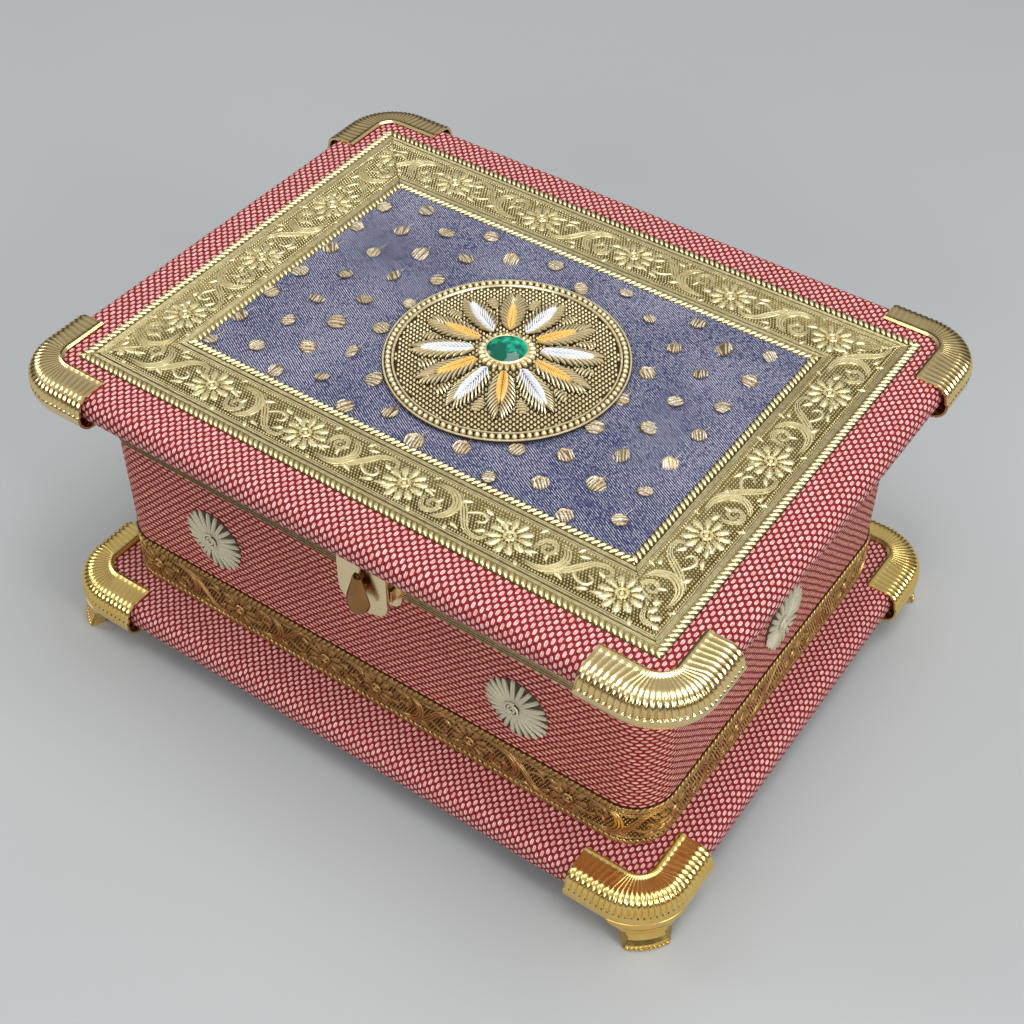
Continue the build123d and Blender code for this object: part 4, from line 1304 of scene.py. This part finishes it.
rng = np.random.default_rng(11)
for node in sorted(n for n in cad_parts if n.startswith("sunburst_")):
    low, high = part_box(node)
    middle = (low + high) / 2
    side = node.split("_")[1]
    facing = {"front": 0, "back": math.pi, "right": math.pi / 2, "left": -math.pi / 2}[side]
    outward_wall = Vector((math.sin(facing), -math.cos(facing), 0))
    middle -= outward_wall * abs((high - low).dot(outward_wall)) / 2
    onto_wall = (Matrix.Translation(middle) @ Matrix.Rotation(facing, 4, "Z") @ spin_about("X", 90)
                 @ Matrix.Translation((*hub_shift, 0)))
    strand = lump("strand", 1.0, 1.0, 1.0, narrow=0.9, sides=6, rings=8)
    places = []
    for i in range(ray_count):
        degrees = 360 / ray_count * i + rng.normal(0, 1.3)
        reach = ray_reach(degrees) * (1 + rng.normal(0, 0.012))
        for k in (-1, 0, 1):
            length = reach - 0.0022 - 0.0003 * abs(k)
            places.append(spin_about("Z", degrees)
                          @ Matrix.Translation((0.0020, k * 0.00042, patch_rise + 0.0003 - 0.0001 * abs(k)))
                          @ Matrix.Diagonal((length, 0.00066, 0.00062, 1)))
    rays = copies(strand, places, node + "_rays")
    coil_points = []
    for t in np.linspace(0, 1, 26):
        turn, wind = 2.6 - t * coil_turns * 2 * math.pi, 0.5 + 2.3 * t
        coil_points.append((wind * math.cos(turn), wind * math.sin(turn), 0.36))
    coil = vine("coil", coil_points, flatten=1.0, steps=3)
    coil.data.transform(Matrix.Translation((0, 0, patch_rise + 0.0005)))
    threads = joined([rays, coil], node + "_threads")
    threads.data.transform(onto_wall)
    smooth(threads, 60)
    coat(threads, thread_gold)
    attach(threads, "box")
    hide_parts(node)
    patch = finish_place(add(bpy.ops.mesh.primitive_cylinder_add, node + "_patch", vertices=48, radius=1,
                             depth=patch_rise, location=(0, 0, patch_rise / 2)))
    for vertex in patch.data.vertices:
        degrees = math.degrees(math.atan2(vertex.co.y, vertex.co.x))
        vertex.co.xy = vertex.co.xy.normalized() * (ray_reach(degrees) - 0.0010)
    select_faces(patch, lambda face: face.normal.z > 0.9)
    bpy.ops.mesh.bevel(offset=0.0002, segments=2, affect="EDGES")
    leave_edit()
    patch.data.transform(onto_wall)
    smooth(patch, 40)
    coat(patch, patch_dark)
    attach(patch, "box")


# --- Clasp and hinges ---
# Small brass hardware: butt hinges at the back under the lid's overhang, and on the front a hanging
# flap with a hooded turn leaf whose bar locks behind the hooks of the keeper on the wall.

hardware_brass = bright_brass("hardware_brass", (0.92, 0.78, 0.48), (0.80, 0.63, 0.34), 0.18)
# The turn leaf gets a dark brown copy of the brass: painted reflection of the red cloth around it.
dark_reflection_leaf_brass = bright_brass("turn_leaf_brass", (0.44, 0.23, 0.085), (0.22, 0.095, 0.03), 0.11)
for node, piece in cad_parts.items():
    if node.startswith("hinge_") or node.startswith("clasp_") and node != "clasp_turn_leaf":
        coat(piece, hardware_brass)

leaf_low, leaf_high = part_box("clasp_turn_leaf")
flap_low, flap_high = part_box("clasp_flap")
leaf_middle = (leaf_low.x + leaf_high.x) / 2
leaf_back = flap_low.y - 0.0003
leaf_half = (leaf_high.x - leaf_low.x) / 2
leaf_depth = leaf_back - leaf_low.y
leaf_height = leaf_high.z - leaf_low.z
# A hood that widens like a bell from its closed top; u goes across it and v down it.
turn_leaf = add(bpy.ops.mesh.primitive_grid_add, "turn_leaf", x_subdivisions=28, y_subdivisions=24, size=2)
for vertex in turn_leaf.data.vertices:
    u, v = vertex.co.x, (1 - vertex.co.y) / 2
    turn = u * math.pi / 2
    bell = 0.34 + 0.66 * (0.5 - 0.5 * math.cos(math.pi * min(1.0, 1.08 * v))) ** 0.8
    bell *= 1 - 0.10 * max(0.0, v - 0.86) / 0.14
    ridge = 1 + 0.10 * math.cos(3 * turn) * v
    hood = (leaf_depth - 0.0006) * (0.30 + 0.70 * v ** 1.4) * math.cos(turn) * ridge / 1.1
    hood *= 1 - 0.25 * max(0.0, v - 0.8) / 0.2
    cap = max(0.0, 1 - v / 0.10)
    vertex.co = (leaf_middle + leaf_half * bell * math.sin(turn) * (1 - 0.5 * cap),
                 leaf_back - 0.0003 - hood * (1 - cap),
                 leaf_high.z - leaf_height * v + leaf_height * 0.13 * (abs(u) ** 2.2) * v ** 3)
thicken(turn_leaf, 0.0005)
outward(turn_leaf)
spindle_level = (flap_low.z + flap_high.z) / 2 - 0.0039
into_leaf = 0.0012            # how far the spindle goes into the leaf
spindle = finish_place(add(bpy.ops.mesh.primitive_cylinder_add, "turn_spindle", vertices=24, radius=0.0015,
                           depth=leaf_high.y - leaf_back + into_leaf,
                           location=(leaf_middle, (leaf_high.y + leaf_back - into_leaf) / 2, spindle_level),
                           rotation=(math.pi / 2, 0, 0)))
turn_leaf = joined([turn_leaf, spindle], "turn_leaf")
smooth(turn_leaf, 40)
coat(turn_leaf, dark_reflection_leaf_brass)
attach(turn_leaf, "turn_leaf")
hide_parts("clasp_turn_leaf")


# --- Lining and boards ---
# Crimson velvet inside: glued to the walls, and over padded cards on the floor and under the lid.
# Black paper closes the plinth's underside. The bare boards never show.

lining_velvet, tree, surface = start_material("crimson_velvet", roughness=0.9)
pile = noise(tree, 1500.0, 4.0)
brushed = blend_colours(tree, noise(tree, 28.0), (0.16, 0.010, 0.026), (0.30, 0.020, 0.050))
feed(tree, surface, "Base Color", blend_colours(tree, pile, (0.10, 0.006, 0.014), brushed))
bump(tree, surface, pile, 0.0004)
surface.inputs["Sheen Weight"].default_value = 0.9
surface.inputs["Sheen Roughness"].default_value = 0.35
surface.inputs["Sheen Tint"].default_value = (0.9, 0.25, 0.32, 1.0)

lining = add_block("velvet_lining", lining_low, lining_high)
hollow = space_in_lining("hollow")
round_uprights(hollow, 0.002, 4)
cut_away(lining, hollow)
smooth(lining)
coat(lining, lining_velvet)
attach(lining, "box")
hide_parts("wall_lining")


pad_corner = 0.004


def padded_card(name, node, body, thickness, face_up):
    """Card under wadding: crowned, and drawn in round its edges."""
    low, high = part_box(node)
    middle, half = (low + high) / 2, (high - low) / 2
    pad = raised_grid(name, 56, 40, size=2)
    back = low.z if face_up else low.z + thickness
    for vertex in pad.data.vertices:
        x, y, face = vertex.co
        to_edge = min((1 - abs(x)) * half.x, (1 - abs(y)) * half.y)
        crown = math.sin(math.pi / 2 * min(1.0, to_edge / 0.010)) ** 0.5 if to_edge > 1e-9 else 0.0
        rise = thickness * (0.35 + 0.65 * crown) if face > 0.5 else 0.0
        corner_x = max(0.0, abs(x) * half.x - half.x + pad_corner)
        corner_y = max(0.0, abs(y) * half.y - half.y + pad_corner)
        drawn = max(0.0, math.hypot(corner_x, corner_y) - pad_corner)
        vertex.co = (middle.x + x * half.x - math.copysign(0.7 * drawn, x) * (corner_y > 0),
                     middle.y + y * half.y - math.copysign(0.7 * drawn, y) * (corner_x > 0),
                     back + rise * (1 if face_up else -1))
    if not face_up:
        pad.data.flip_normals()
    smooth(pad, 50)
    coat(pad, lining_velvet)
    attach(pad, body)
    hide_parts(node)


padded_card("floor_pad", "floor_lining_pad", "box", 0.0020, True)
padded_card("lid_pad", "lid_lining_pad", "lid", 0.0028, False)

pressed_board = mottled("pressed_board", (0.30, 0.22, 0.13), (0.46, 0.36, 0.24), 300.0, 6.0, fine=1200.0,
                        depth=0.0003, roughness=0.85)
base_paper = mottled("base_paper", (0.016, 0.015, 0.015), (0.030, 0.028, 0.028), 800.0, fine=1500.0,
                     depth=0.0002, roughness=0.8)
for node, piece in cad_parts.items():
    if node.endswith("_board"):
        coat(piece, pressed_board)
    if node == "plinth_base_paper":
        coat(piece, base_paper)
